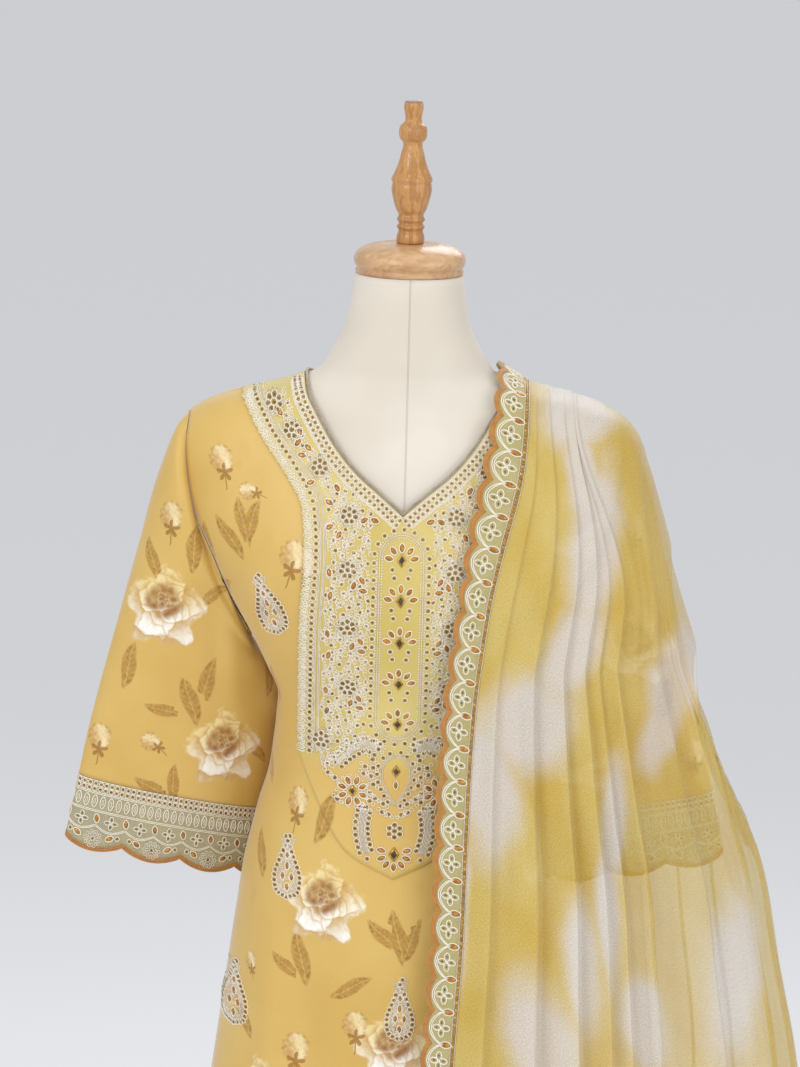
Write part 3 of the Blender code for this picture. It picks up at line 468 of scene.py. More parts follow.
def grid_normals(grid, around=False):
    """Unit normals of a grid from its neighbours, level on points of the middle plane."""
    if around:
        across = np.roll(grid, -1, axis=1) - np.roll(grid, 1, axis=1)
    else:
        across = np.gradient(grid, axis=1)
    normal = np.cross(across, np.gradient(grid, axis=0))
    normal[np.abs(grid[..., 1]) < SEAM, 1] = 0
    return unit(normal)


def panel_half(side, foot, neckline):
    """The wearer's left half of a panel, as (rows, columns, xyz), lower rows first."""
    tip_z, snp_z, yoke_z = (float(shoulder_height(x))
                            for x in (SHOULDER_TIP_X, SIDE_NECK_X, YOKE_SHOULDER_X))
    side_x, arm_x = (along(KAMEEZ, "z", "half_width", z) for z in (YOKE_CORNER, UNDERARM))
    ridge = 1 - np.linspace(1, 0, ARMHOLE_ROWS + 1) ** 2.2
    up = np.concatenate([np.linspace(0, 0.28, SIDE_ROWS, endpoint=False), 0.28 + 0.72 * ridge])
    seam_z = np.linspace(YOKE_CORNER, UNDERARM, SIDE_ROWS + 1)
    seam = np.stack([along(KAMEEZ, "z", "half_width", seam_z), seam_z], axis=1)
    armhole = spaced([(arm_x, UNDERARM), *zip(ARMHOLE["x"], ARMHOLE["z"]),
                      (SHOULDER_TIP_X, tip_z)], ridge)
    right = np.concatenate([seam[:-1], armhole])
    yoke_edge = spaced([*zip(YOKE_EDGE["x"], YOKE_EDGE["z"]), (YOKE_SHOULDER_X, yoke_z)], up)
    neck = spaced([*zip(neckline["x"], neckline["z"]), (SIDE_NECK_X, snp_z)],
                  np.linspace(0, 1, 400))
    depth = cloth_depth(side, neck[:, 0], neck[:, 1])
    shares = 1 - np.linspace(1, 0, NECK_ROWS + 1) ** 1.5
    neck = spaced_line(np.column_stack([neck, depth]), shares)[:, :2]
    middle = spaced([(0, foot["z"][0]), (0, neckline["z"][0])], up[:NECK_ROW] / up[NECK_ROW])
    left = np.concatenate([middle, neck])
    even = np.linspace(0, 1, YOKE_COLUMNS + 1), np.linspace(0, 1, OUTER_COLUMNS + 1)
    shoulder = spaced([(SIDE_NECK_X, snp_z), (YOKE_SHOULDER_X, yoke_z)], even[0])
    tip = spaced([(YOKE_SHOULDER_X, yoke_z), (SHOULDER_TIP_X, tip_z)], even[1])
    for line in (shoulder, tip):
        line[:, 1] = shoulder_height(line[:, 0])
    yoke_foot = spaced(list(zip(foot["x"], foot["z"])), even[0])
    side_foot = spaced([(YOKE_HALF_WIDTH, YOKE_CORNER), (side_x, YOKE_CORNER)], even[1])
    upper = np.concatenate([patch(yoke_foot, shoulder, left, yoke_edge, up),
                            patch(side_foot, tip, yoke_edge, right, up)[:, 1:]], axis=1)
    share = np.linspace(0, 1, SKIRT_ROWS, endpoint=False)[:, None]
    z = KAMEEZ_HEM + share * (upper[0, :, 1][None] - KAMEEZ_HEM)
    x = upper[0, :, 0] / side_x * along(KAMEEZ, "z", "half_width", z)
    flat = np.concatenate([np.stack([x, z], axis=2), upper])
    x, z = flat[..., 0], flat[..., 1]
    y = np.maximum(cloth_depth(side, x, z), SEAM / 2)
    slit = HEM_SLIT * np.clip((SLIT_TOP - z) / (SLIT_TOP - KAMEEZ_HEM), 0, 1)
    on_seam = np.zeros(x.shape, bool)
    on_seam[: SKIRT_ROWS + SIDE_ROWS + 1, -1] = True
    on_seam[-1] = True
    y = np.where(on_seam, (SEAM + slit) / 2, y)
    return np.stack([x, (-1 if side == "front" else 1) * y, z], axis=2)


def half_normals(half, side, joined):
    normals = grid_normals(half) * (1 if side == "front" else -1)
    normals[:joined, 0, 0] = 0
    return unit(normals)


def both_halves(half, normals, side, joined):
    """Points, normals and faces of a panel whose halves share their first columns' lower rows."""
    rows, cols = half.shape[:2]
    kept = np.ones((rows, cols), bool)
    kept[:joined, 0] = False
    other = np.arange(rows * cols).reshape(rows, cols)
    other[kept] = rows * cols + np.arange(kept.sum())
    faces = quads(rows, cols)
    faces = np.concatenate([faces, other.ravel()[faces][:, ::-1]])
    flip = (-1, 1, 1)
    return (np.concatenate([half.reshape(-1, 3), half[kept] * flip]),
            np.concatenate([normals.reshape(-1, 3), normals[kept] * flip]),
            faces if side == "front" else faces[:, ::-1])


def walled(made, thickness):
    """Gives a cloth surface its thickness, half to each side."""
    solid = made.modifiers.new("thickness", "SOLIDIFY")
    solid.thickness, solid.offset = thickness, 0.0
    solid.use_even_offset = False
    return made


# The print's motifs as they lie seen from the front: peonies, rosebuds and leaves
PEONIES = columns("x z size turn", [
    (-0.2236, 1.1943, 0.047, 0.0), (-0.164, 1.0496, 0.046, 0.1), (-0.0641, 0.9279, 0.046, 0.0),
    (0.008, 0.7898, 0.046, 0.1), (-0.119, 0.73, 0.046, 0.2), (-0.02, 0.59, 0.046, 0.0),
    (0.095, 0.65, 0.046, 0.1), (-0.142, 0.51, 0.046, 0.0), (0.115, 0.46, 0.046, 0.1),
    (0.135, 0.97, 0.046, 0.0), (0.165, 1.29, 0.045, 0.1), (0.2236, 1.17, 0.047, 0.0),
    (0.175, 1.05, 0.045, 0.1), (0.07, 1.13, 0.045, 0.0), (0.005, 0.46, 0.045, 0.2),
])
BUDS = columns("x z size turn", [
    (-0.1703, 1.3419, 0.022, 0.3), (-0.1, 1.2563, 0.024, -0.1), (-0.0922, 1.0176, 0.024, 0.0),
    (-0.0352, 0.8087, 0.022, 0.1), (-0.0906, 0.7826, 0.024, 0.0), (-0.1458, 1.3186, 0.015, 1.4),
    (-0.22, 1.285, 0.022, 0.1), (-0.285, 1.062, 0.022, 0.0), (-0.232, 1.061, 0.017, 0.9),
    (-0.1338, 0.8634, 0.015, 0.4), (0.05, 0.9, 0.022, 0.2), (0.11, 0.76, 0.024, -0.2),
    (-0.08, 0.66, 0.022, 0.1), (0.04, 0.69, 0.023, -0.1), (-0.1, 0.44, 0.022, 0.2),
    (0.06, 0.53, 0.024, 0.0), (0.15, 0.57, 0.022, 0.3), (-0.165, 0.62, 0.02, 0.0),
    (0.1, 1.35, 0.022, 0.0), (0.285, 1.062, 0.022, 0.0), (0.22, 1.285, 0.022, -0.1),
])
LEAVES = columns("x z size turn", [
    (-0.201, 1.104, 0.03, 0.15), (-0.222, 1.093, 0.022, 1.15), (-0.183, 1.118, 0.03, -0.45),
    (-0.178, 1.21, 0.022, -1.1), (-0.256, 1.138, 0.026, -0.35), (-0.235, 1.015, 0.022, 0.9),
    (-0.212, 1.018, 0.022, -0.2), (-0.149, 1.288, 0.026, 0.1), (-0.14, 1.29, 0.024, -0.5),
    (-0.164, 1.275, 0.026, 0.5), (-0.0864, 0.874, 0.03, 0.1), (-0.098, 0.865, 0.022, 0.8),
    (0.006, 0.902, 0.03, 0.1), (-0.008, 0.896, 0.026, 0.7), (0.02, 0.898, 0.026, -0.5),
    (-0.07, 1.008, 0.03, -0.5), (-0.035, 0.85, 0.024, -1.2), (-0.126, 0.962, 0.026, 0.2),
    (-0.115, 1.125, 0.024, -0.3), (-0.118, 1.045, 0.022, 0.6), (-0.14, 0.805, 0.026, 0.5),
    (-0.055, 0.735, 0.028, -0.7), (0.06, 0.735, 0.026, 0.4), (-0.07, 0.55, 0.028, 0.9),
    (0.03, 0.625, 0.028, -0.6), (0.13, 0.7, 0.026, -0.4), (-0.1, 0.6, 0.028, 0.2),
    (0.16, 0.515, 0.024, 0.2), (0.05, 0.425, 0.028, 0.6), (-0.182, 0.46, 0.024, 0.1),
    (-0.235, 1.245, 0.024, 0.2), (-0.198, 1.255, 0.026, -0.2), (0.205, 1.104, 0.03, 0.15),
    (0.145, 1.23, 0.026, 0.4), (0.256, 1.118, 0.026, -0.35), (0.095, 0.83, 0.028, 0.3),
])


REACH, NEAR, FAR_OFF = 1.25, 0.02, 9.0


def printed(points, flat, corner, zones):
    """UV maps of the print. The map cloth lays the whole piece flat. In each of the others a
    corner reads its place on the nearest motif, in motif sizes, or far off where none is near.
    Each zone is a set of points and how far the motifs are moved there."""
    middle = corner.mean(axis=1)
    maps = {"cloth": corner.reshape(-1, 2)}
    for label, table in (("peony", PEONIES), ("bud", BUDS), ("leaf", LEAVES)):
        centre, size, turn = [], [], []
        for zone, shift in zones:
            at = np.stack([table["x"] + shift[0], table["z"] + shift[1]], axis=1)
            near = ((points[zone][:, None, ::2] - at[None]) ** 2).sum(axis=2)
            found = near.min(axis=0) < NEAR**2
            centre.append(flat[zone][near.argmin(axis=0)[found]])
            size.append(table["size"][found])
            turn.append(table["turn"][found])
        centre, size, turn = (np.concatenate(v) for v in (centre, size, turn))
        if not len(centre):
            maps[label] = np.full((corner.size // 2, 2), FAR_OFF)
            continue
        apart = np.linalg.norm(middle[:, None] - centre[None], axis=2) / size
        which = apart.argmin(axis=1)
        c, s = np.cos(turn[which])[:, None], np.sin(turn[which])[:, None]
        off = (corner - centre[which][:, None]) / size[which][:, None, None]
        local = np.stack([c * off[..., 0] + s * off[..., 1], c * off[..., 1] - s * off[..., 0]],
                         axis=2)
        local[apart[np.arange(len(which)), which] > REACH] = FAR_OFF
        maps[label] = local.reshape(-1, 2)
    return maps


def laid_flat(grid):
    """How far along its row each point is, from the row's middle plane, and its height."""
    steps = np.linalg.norm(np.diff(grid[..., :2], axis=1), axis=2)
    across = np.concatenate([grid[:, :1, 0], grid[:, :1, 0] + np.cumsum(steps, axis=1)], axis=1)
    return np.stack([across, grid[..., 2]], axis=2)


def panel_flat(half, normals, side, joined):
    """Both halves of a panel laid flat, in the order of their points."""
    flat = laid_flat(half)
    flat = np.concatenate([flat, np.zeros_like(flat[..., :1])], axis=2)
    return both_halves(flat, normals, side, joined)[0][:, :2]


def peony(start, ground):
    """A full-blown peony. Petals are cells on a cylinder of the angle and the logarithm of the
    radius, so they nest and grow outwards. The rim waves with the angle."""
    flat = start.node("UVMap", uv_map="peony")
    wander = (flat.noise(2.6, 3.0) - 0.5) * 0.3
    u, v, _ = flat.parts()
    u, v = u + wander, v + (flat.noise(3.1, 2.0) - 0.5) * 0.24
    r = ((u * u + v * v) ** 0.5).most(0.02)
    angle = start.maths("ARCTAN2", v, u)
    rim = (angle * 5.0 + 0.6).wave() * 0.09 + (angle * 8.0 + 2.0).wave() * 0.06 + 0.8
    heart_v = v - 0.2
    heart_r = ((u * u + heart_v * heart_v) ** 0.5).most(0.02)
    petal_place = start.joined(u / heart_r * 1.35, heart_v / heart_r * 1.35,
                               heart_r.maths("LOGARITHM", heart_r, 2.718) * 1.5)
    cell = start.node("TexVoronoi", {"Vector": petal_place, "Scale": 1.0}, feature="F1")
    across = start.node("TexVoronoi", {"Vector": petal_place, "Scale": 1.0},
                        feature="DISTANCE_TO_EDGE")
    tip = (petal_place.parts()[2]
           - start.node("TexVoronoi", {"Vector": petal_place, "Scale": 1.0}, 2).parts()[2])
    tone = (tip * 0.85 + 0.62 + (flat.noise(9.0, 3.0) - 0.5) * 0.5).rise(0.0, 1.0)
    below = v.rise(0.55, -0.35)
    petal = tone.mix(below.mix(linear(196, 146, 66), linear(210, 176, 118)),
                     below.mix(linear(250, 232, 172), linear(255, 253, 244)))
    edge = across.rise(0.1, 0.0) * 0.45
    petal = edge.mix(petal, linear(200, 152, 78))
    streak = start.joined(angle * 9.0, r * 1.5).noise(1.6, 2.0).rise(0.5, 0.75) * 0.35
    petal = streak.mix(petal, linear(226, 190, 120))
    heart = heart_r.rise(0.46, 0.24) * (cell.rise(0.9, 0.2) * 0.65 + 0.3)
    petal = heart.mix(petal, linear(142, 82, 20))
    mask = (rim - r).rise(0.0, 0.09) * (0.8 + below * 0.2)
    wisp = (rim + 0.12 - r).rise(0.0, 0.1) * flat.noise(4.0, 3.0).rise(0.5, 0.66) * v.rise(0.0, 0.4)
    ground = (wisp * 0.6).mix(ground, linear(246, 226, 170))
    return mask.mix(ground, petal)


def bud(start, ground):
    """A rosebud: an egg of curled petals over dark sepals, with a bent stem under it."""
    flat = start.node("UVMap", uv_map="bud")
    u, v, _ = flat.parts()
    u = u + (flat.noise(2.5, 2.0) - 0.5) * 0.25
    egg = ((u / 0.52) ** 2.0 + ((v - 0.12) / 0.62) ** 2.0) ** 0.5
    curl = ((u * 7.0 + v * 2.2 + (u * u) * 6.0)).wave() * 0.5 + 0.5
    tone = (curl * 0.35 + u * 0.35 + 0.35 + (flat.noise(6.0, 3.0) - 0.5) * 0.9).rise(0.0, 1.0)
    petal = tone.mix(linear(194, 146, 70), linear(248, 230, 180))
    angle = start.maths("ARCTAN2", v + 0.42, u)
    sepal_r = (u * u + (v + 0.42) * (v + 0.42)) ** 0.5
    sepal = ((angle * 5.0 + 1.0).wave() * 0.14 + 0.3 - sepal_r).rise(0.0, 0.07)
    rim = (egg - 0.98).size().rise(0.2, 0.0) * flat.noise(4.0, 2.0).rise(0.45, 0.65) * 0.5
    stem = (u - (v + 0.45) * 0.18).size().rise(0.05, 0.02) * v.rise(-0.4, -0.5) * v.rise(-1.2, -1.1)
    ground = (egg.rise(1.08, 0.84) * 0.92).mix(ground, petal)
    ground = rim.mix(ground, linear(150, 100, 36))
    return ((sepal * 0.85).most(stem * 0.8)).mix(ground, linear(158, 112, 40))


def leaf(start, ground):
    """A pointed leaf along its length, as wide as a cosine, with a pale vein and fine ribs."""
    flat = start.node("UVMap", uv_map="leaf")
    u, v, _ = flat.parts()
    u = u + (v * 2.2).wave() * 0.1 + (flat.noise(3.0, 2.0) - 0.5) * 0.1
    width = (v * (math.pi / 2)).maths("COSINE", v * (math.pi / 2)).most(0.0) ** 0.8 * 0.33
    ribs = ((v * 1.2 - u.size()) * 26.0).wave() * 0.5 + 0.5
    tone = (ribs * 0.12 + flat.noise(3.2, 3.0) * 1.1).rise(0.25, 0.95)
    green = tone.mix(linear(144, 100, 32), linear(204, 160, 78))
    green = (u.size().rise(0.035, 0.0) * 0.6).mix(green, linear(224, 188, 112))
    inside = v.size().rise(0.99, 0.9) * (flat.noise(4.0, 3.0).rise(0.3, 0.6) * 0.35 + 0.62)
    return ((width - u.size()).rise(0.0, 0.1) * inside).mix(ground, green)


def satin(place, threads=2600.0):
    """Relief of a fine plain weave with a few thicker threads."""
    x, y, z = place.parts()
    thick = place.times(0.3, 1, 3).noise(420.0, 2.0) * 2
    return (x * threads).wave() * (z * threads).wave() + thick


def printed_cloth(name, first, second, faded=None):
    """Printed satin. Where faded is given, the ground turns into the kameez's own colour
    between those two heights."""
    material, start, put = finish(name, 0.46, Sheen_Weight=0.35, Sheen_Roughness=0.4,
                                  Specular_IOR_Level=0.35)
    flat = start.node("UVMap", uv_map="cloth")
    cloud = flat.noise(7.0, 3.0)
    ground = cloud.rise(0.3, 0.7).mix(linear(*first), linear(*second))
    place = place_of(start)
    if faded:
        own = cloud.rise(0.3, 0.7).mix(linear(*GROUND[0]), linear(*GROUND[1]))
        ground = place.parts()[2].rise(*faded).mix(own, ground)
    wash = flat.times(1, 0.6).noise(24.0, 4.0).rise(0.62, 0.8) * 0.35
    ground = wash.mix(ground, linear(198, 152, 66))
    coloured = bud(start, peony(start, leaf(start, ground)))
    thread = place.noise(1500.0, 2.0)
    put(Base_Color=(thread.rise(0.3, 0.8) * 0.1).mix(coloured, linear(150, 110, 50)),
        Roughness=thread * 0.16 + 0.38,
        Normal=start.bump(satin(place) * 0.1, 0.0003))
    return material


GROUND = (212, 174, 92), (221, 186, 106)
print_cloth = printed_cloth("print_cloth", *GROUND)
halves = {}
for side, foot, neckline, folds in (("front", YOKE_FOOT, NECKLINE, FRONT_FOLDS),
                                    ("back", LEVEL_FOOT, BACK_NECKLINE, BACK_FOLDS)):
    joined = SKIRT_ROWS + NECK_ROW + 1
    half = panel_half(side, foot, neckline)
    normals = half_normals(half, side, joined)
    halves[side] = half, normals
    points, out, faces = both_halves(half, normals, side, joined)
    flat = panel_flat(half, normals, side, joined)
    seam_line = np.abs(points[:, 1]) > 0.012
    points = points + out * (folded(folds, points[:, 0], points[:, 2]) * seam_line)[:, None]
    maps = printed(points, flat, flat[faces],
                   [(slice(None), (0.0, 0.0) if side == "front" else (0.03, 0.06))])
    made = walled(piece("kameez_" + side + "_cloth", points, faces, print_cloth, "kameez_print",
                        maps, cad=["kameez_" + side]), CLOTH)

# Sleeves: bell sleeves of the same print, set into the armholes. They widen down to the elbow,
# where the lace cuffs are sewn on, and hang with a few soft folds from the shoulder.
SLEEVE = np.array([
    # outer edge, inner edge, half depth, bulge
    (0.2209, -0.014, 1.358, 0.14, 0.01, 1.157, 0.049, 0.014),
    (0.2365, -0.012, 1.3114, 0.1295, 0.026, 1.138, 0.05, 0.013),
    (0.25, -0.009, 1.256, 0.115, 0.04, 1.115, 0.049, 0.01),
    (0.2605, -0.006, 1.215, 0.1145, 0.046, 1.092, 0.046, 0.006),
    (0.2729, -0.004, 1.1654, 0.116, 0.051, 1.065, 0.041, 0.003),
    (0.2855, -0.002, 1.116, 0.118, 0.054, 1.04, 0.036, 0.001),
    (0.2965, 0.0, 1.069, 0.122, 0.057, 1.012, 0.03, 0.0),
    (0.305, 0.002, 1.0252, 0.13, 0.059, 0.984, 0.025, 0.0),
    (0.3185, 0.004, 0.956, 0.137, 0.062, 0.914, 0.023, 0.0),
])
SLEEVE_ROWS = 76
SLEEVE_FOLDS = columns("x z x_end z_end width height", [
    (0.205, 1.33, 0.215, 1.13, 0.012, 0.0022), (0.19, 1.26, 0.17, 1.12, 0.011, -0.0022),
    (0.175, 1.21, 0.15, 1.08, 0.009, 0.0018), (0.235, 1.26, 0.26, 1.06, 0.014, 0.0016),
    (0.21, 1.12, 0.22, 1.02, 0.014, -0.0014),
])


def beyond_edge(edge, normals):
    """Unit vectors that carry on a surface past its edge, from a loop round the opening."""
    return unit(np.cross(normals, np.roll(edge, -1, axis=0) - np.roll(edge, 1, axis=0)))


def armhole_loop(front, back):
    """The sleeve's first ring, just beyond the armhole: down its front from the shoulder's tip,
    then up its back. At the underarm it stands outside the side seam."""
    start = SKIRT_ROWS + SIDE_ROWS
    edge, normals = (np.concatenate([f[start:, -1][::-1], b[start + 1:-1, -1]])
                     for f, b in zip(front, back))
    tenth = np.arange(len(edge)) * 10 / ARMHOLE_ROWS
    low = np.interp(tenth, (0, 6, 10, 11, 18, 19, 20), (0, 0, 1, 1.4, 1.4, 0, 0))[:, None]
    past = np.interp(tenth, (0, 9, 10, 11, 20), (1, 1, 0, 1, 1))[:, None]
    return (edge + beyond_edge(edge, normals) * past * (CLOTH / 2 + 2 * SEAM)
            + normals * low * (CLOTH + 2 * SEAM))


def sleeve_ring(row, sides):
    """An ellipse from the outer edge, over the front, to the inner edge and back."""
    outer, inner = row[:3], row[3:6]
    angle = np.arange(sides)[:, None] / sides * math.tau
    return ((outer + inner) / 2 + np.cos(angle) * (outer - inner) / 2
            + np.sin(angle) ** 2 * (row[7], 0, 0) - np.sin(angle) * (0, row[6], 0))


def turned_out(grid, left):
    """Rings of a sleeve put in order from the inner edge, counter-clockwise from above, and
    mirrored for the wearer's right. Their rows go up."""
    sides = grid.shape[1]
    if left:
        return grid[:, (sides // 2 - np.arange(sides)) % sides]
    return grid[:, (sides // 2 + np.arange(sides)) % sides] * (-1, 1, 1)


def tube_maps(grid, points):
    """The print's maps on a tube. Each half lies flat round its own middle column."""
    rows, sides = grid.shape[:2]
    whole = laid_flat(np.concatenate([grid, grid[:, :1]], axis=1))
    flats = []
    for middle, apart in ((sides // 4, 0.0), (3 * sides // 4, 1.0)):
        shift = grid[:, middle, 0] - whole[:, middle, 0] + apart
        flats.append(whole + shift[:, None, None] * (1, 0))
    first = np.arange(sides) < sides // 2
    corner = np.where(np.tile(first, rows - 1)[:, None, None], *(
        flat.reshape(-1, 2)[quads(rows, sides + 1)] for flat in flats))
    flat = np.where(first[:, None], *(flat[:, :-1] for flat in flats)).reshape(-1, 2)
    ahead = points[:, 1] < np.repeat(grid[..., 1].mean(axis=1), sides)
    return printed(points, flat, corner, [(ahead, (0.0, 0.0)), (~ahead, (0.02, -0.03))])


loop = armhole_loop(halves["front"], halves["back"])
sides = len(loop)
rings = np.stack([loop] + [sleeve_ring(row, sides) for row in SLEEVE[:-1]])
knots = run_along(rings.mean(axis=1))
down_sleeve = smooth(knots, rings, np.linspace(0, knots[-1], SLEEVE_ROWS))[::-1]
for name, left in (("left", True), ("right", False)):
    grid = turned_out(down_sleeve, left)
    out = grid_normals(grid, around=True)
    rise = folded(SLEEVE_FOLDS, np.abs(grid[..., 0]), grid[..., 2])
    rows = np.linspace(0, 1, SLEEVE_ROWS)[:, None]
    fade = np.clip((1 - rows) / 0.12, 0, 1) * np.clip(rows / 0.06, 0, 1)
    points = (grid + out * (rise * fade)[..., None]).reshape(-1, 3)
    made = walled(piece("sleeve_" + name + "_cloth", points, quads(SLEEVE_ROWS, sides, True),
                        print_cloth, "kameez_print", tube_maps(grid, points),
                        cad=["sleeve_" + name]), CLOTH)

# Lace cuffs: grey-green net below each sleeve, its lower edge cut in seven scallops. Their
# straight edges are sewn to the sleeves, and their embroidery is made further on.
TRIM = 0.0012
CUFF_SCALLOPS, CUFF_SCALLOP_DEPTH = 7, 0.009
CUFF_ROWS, CUFF_SIDES, FINE = 8, 7 * 30, 720


def net(name, first, second, pitch=1500.0):
    """Fine net: a woven mesh of threads over cloth, a little uneven."""
    material, start, put = finish(name, 0.7, Sheen_Weight=0.2)
    place = place_of(start)
    x, y, z = place.parts()
    mesh = ((x + z) * pitch).wave().size() * ((x - z) * pitch).wave().size()
    soft = place.noise(60.0, 3.0)
    thread = place.noise(1800.0, 2.0)
    put(Base_Color=(mesh.rise(0.15, 0.5) * 0.35 + thread.rise(0.4, 0.7) * 0.25).mix(
            soft.rise(0.3, 0.7).mix(linear(*first), linear(*second)), linear(96, 88, 58)),
        Normal=start.bump(thread - mesh, 0.0003))
    return material


cuff_net = net("cuff_net", (190, 182, 148), (202, 192, 152))
fine_top, fine_end = (sleeve_ring(row, FINE) for row in SLEEVE[-2:])
around = run_along(np.concatenate([fine_end, fine_end[:1]]))
marks = np.arange(FINE + 1)
even = np.interp(np.arange(CUFF_SIDES) / CUFF_SIDES * around[-1], around, marks)
top, end = (np.stack([np.interp(even, marks, np.append(c, c[0])) for c in ring.T], axis=1)
            for ring in (fine_top, fine_end))
down = unit(end - top)
lobe = np.abs(np.sin(np.arange(CUFF_SIDES) / CUFF_SIDES * math.pi * CUFF_SCALLOPS))[:, None]
end = end - down * CUFF_SCALLOP_DEPTH * (1 - lobe**0.8)
top = top + down * SEAM
share = np.linspace(0, 1, CUFF_ROWS)[:, None, None]
cuff = end + (top - end) * share
for name, left in (("left", True), ("right", False)):
    grid = turned_out(cuff, left)
    made = walled(piece("cuff_" + name + "_net", grid.reshape(-1, 3),
                        quads(CUFF_ROWS, CUFF_SIDES, True), cuff_net, "cuff_lace",
                        cad=["cuff_lace_" + name]), TRIM)

# Yoke: the same satin in a greener yellow that turns golden at its foot. It is sewn over the
# front from the shoulders to the waist, and it carries the embroidery.
yoke_cloth = printed_cloth("yoke_cloth", (206, 184, 100), (220, 200, 122), (1.05, 1.085))
half, normals = (values[SKIRT_ROWS:, : YOKE_COLUMNS + 1] for values in halves["front"])
gap = np.interp(half[..., 2:], (1.075, 1.1), (SEAM * 0.1, SEAM))
raised = half + normals * (CLOTH / 2 + gap + TRIM / 2)
points, out, faces = both_halves(raised, normals, "front", NECK_ROW + 1)
flat = panel_flat(half, normals, "front", NECK_ROW + 1)
walled(piece("yoke", points, faces, yoke_cloth, "yoke_embroidery",
             printed(points, flat, flat[faces], [(slice(None), (0.0, 0.0))]),
             cad=["neck_yoke"]), TRIM)

# Neck cord: two grey-beige strands twisted round each other. It is sewn along the neck's raw
# edge, all the way round.
CORD_RADIUS, CORD_PITCH, STRAND_STEPS, STRAND_SIDES = 0.0015, 0.0042, 9, 5


def beside(line, up):
    """Unit vectors to the side of a closed line and over it."""
    ahead = unit(np.roll(line, -1, axis=0) - np.roll(line, 1, axis=0))
    side = unit(np.cross(up, ahead))
    return side, np.cross(ahead, side)


def twisted(path, normals, away, thick, pitch, count):
    """Strands wound round a closed path. The middle of each is away from the path, at an angle
    that grows evenly along it, and round it lies a ring of the strand's own thickness."""
    run = run_along(np.concatenate([path, path[:1]]))
    turns = round(run[-1] / pitch)
    at = np.linspace(0, run[-1], turns * STRAND_STEPS, endpoint=False)
    middle, up = (np.stack([np.interp(at, run, np.append(c, c[0])) for c in v.T], axis=1)
                  for v in (path, normals))
    side, over = beside(middle, up)
    points, faces = [], []
    for strand in range(count):
        angle = ((at / run[-1] * turns + strand / count) * math.tau)[:, None]
        line = middle + away * (np.cos(angle) * side + np.sin(angle) * over)
        out = (v[:, None] for v in beside(line, up))
        a = (np.arange(STRAND_SIDES) / STRAND_SIDES * math.tau)[:, None]
        ring = line[:, None] + thick * sum(f(a) * v for f, v in zip((np.cos, np.sin), out))
        corners = len(ring) * STRAND_SIDES
        faces.append(quads(len(ring) + 1, STRAND_SIDES, True) % corners + strand * corners)
        points.append(ring.reshape(-1, 3))
    return np.concatenate(points), np.concatenate(faces)


def thread(name, pale, dark, roughness=0.55, metallic=0.0):
    """Stitched thread: fine ridges across noise, with a soft shine."""
    material, start, put = finish(name, roughness, metallic, Sheen_Weight=0.3)
    place = place_of(start)
    fibre = place.noise(2600.0, 2.0)
    worn = place.noise(120.0, 3.0).rise(0.35, 0.7)
    put(Base_Color=(fibre.rise(0.35, 0.7) * 0.5 + worn * 0.3).mix(linear(*pale), linear(*dark)),
        Normal=start.bump(fibre, 0.0003))
    return material


grey_cord = thread("grey_cord", (196, 182, 158), (112, 98, 80))
start_row = SKIRT_ROWS + NECK_ROW
flip = (-1, 1, 1)
edge, normals = (np.concatenate([f[start_row:, 0][::-1] * flip, f[start_row + 1:, 0],
                                 b[start_row:-1, 0][::-1], b[start_row + 1:-1, 0] * flip])
                 for f, b in zip(halves["front"], halves["back"]))
loop = edge + beyond_edge(edge, normals) * (CORD_RADIUS + 2 * SEAM) + normals * CLOTH / 2
piece("neck_cord", *twisted(loop, normals, CORD_RADIUS * 0.48, CORD_RADIUS * 0.56, CORD_PITCH, 2),
      grey_cord, "neck_cord", cad=["neck_piping"])

# Salwar: plain golden cotton, gathered into a waistband, with straight legs that narrow to the
# ankles. The stand's tube comes down inside the wearer's right leg.
WAIST, WAISTBAND_HEIGHT, CROTCH, CROTCH_X = 1.03, 0.03, 0.792, 0.019
LEG = np.array([
    # height, outer edge, inner edge, half depth
    (0.7, 0.156, 0.001, 0.09), (0.6, 0.157, 0.0012, 0.084),
    (0.45, 0.154, 0.0015, 0.077), (0.3, 0.145, 0.0015, 0.07),
    (0.15, 0.132, 0.0015, 0.064), (0.075, 0.126, 0.0015, 0.062),
])
LEG_SIDES, LEG_ROWS, HIP_SIDES, HIP_ROWS, BAND_ROWS = 96, 91, 120, 61, 9


def salwar_size(column, z):
    """Part of the way out from the form to the kameez that hangs over it."""
    return 0.58 * along(FORM, "z", column, z) + 0.42 * along(KAMEEZ, "z", column, z)


def half_ring(z, left):
    """The half of the hip ring on one side of the crotch, closed by the leg's inner wall."""
    sign = 1 if left else -1
    count = LEG_SIDES // 3
    inner = CROTCH_X + sign * SEAM * 2
    half_width = salwar_size("half_width", CROTCH)
    angle = np.linspace(-0.5, 0.5, LEG_SIDES - count + 1) * math.pi
    x = inner + sign * (half_width - sign * inner) * np.cos(angle) ** (2 / BODY_POWER)
    limit = (1 - np.minimum(np.abs(x) / half_width, 1) ** BODY_POWER) ** (1 / BODY_POWER)
    depth = np.where(angle > 0, salwar_size("back", CROTCH), salwar_size("front", CROTCH))
    ring = np.stack([x, np.copysign(depth * limit, angle), np.full(len(x), z)], axis=1)
    closing = ring[-1] + np.linspace(0, 1, count + 1)[1:-1, None] * (ring[0] - ring[-1])
    ring = np.concatenate([ring, closing])
    return ring if left else ring[::-1]


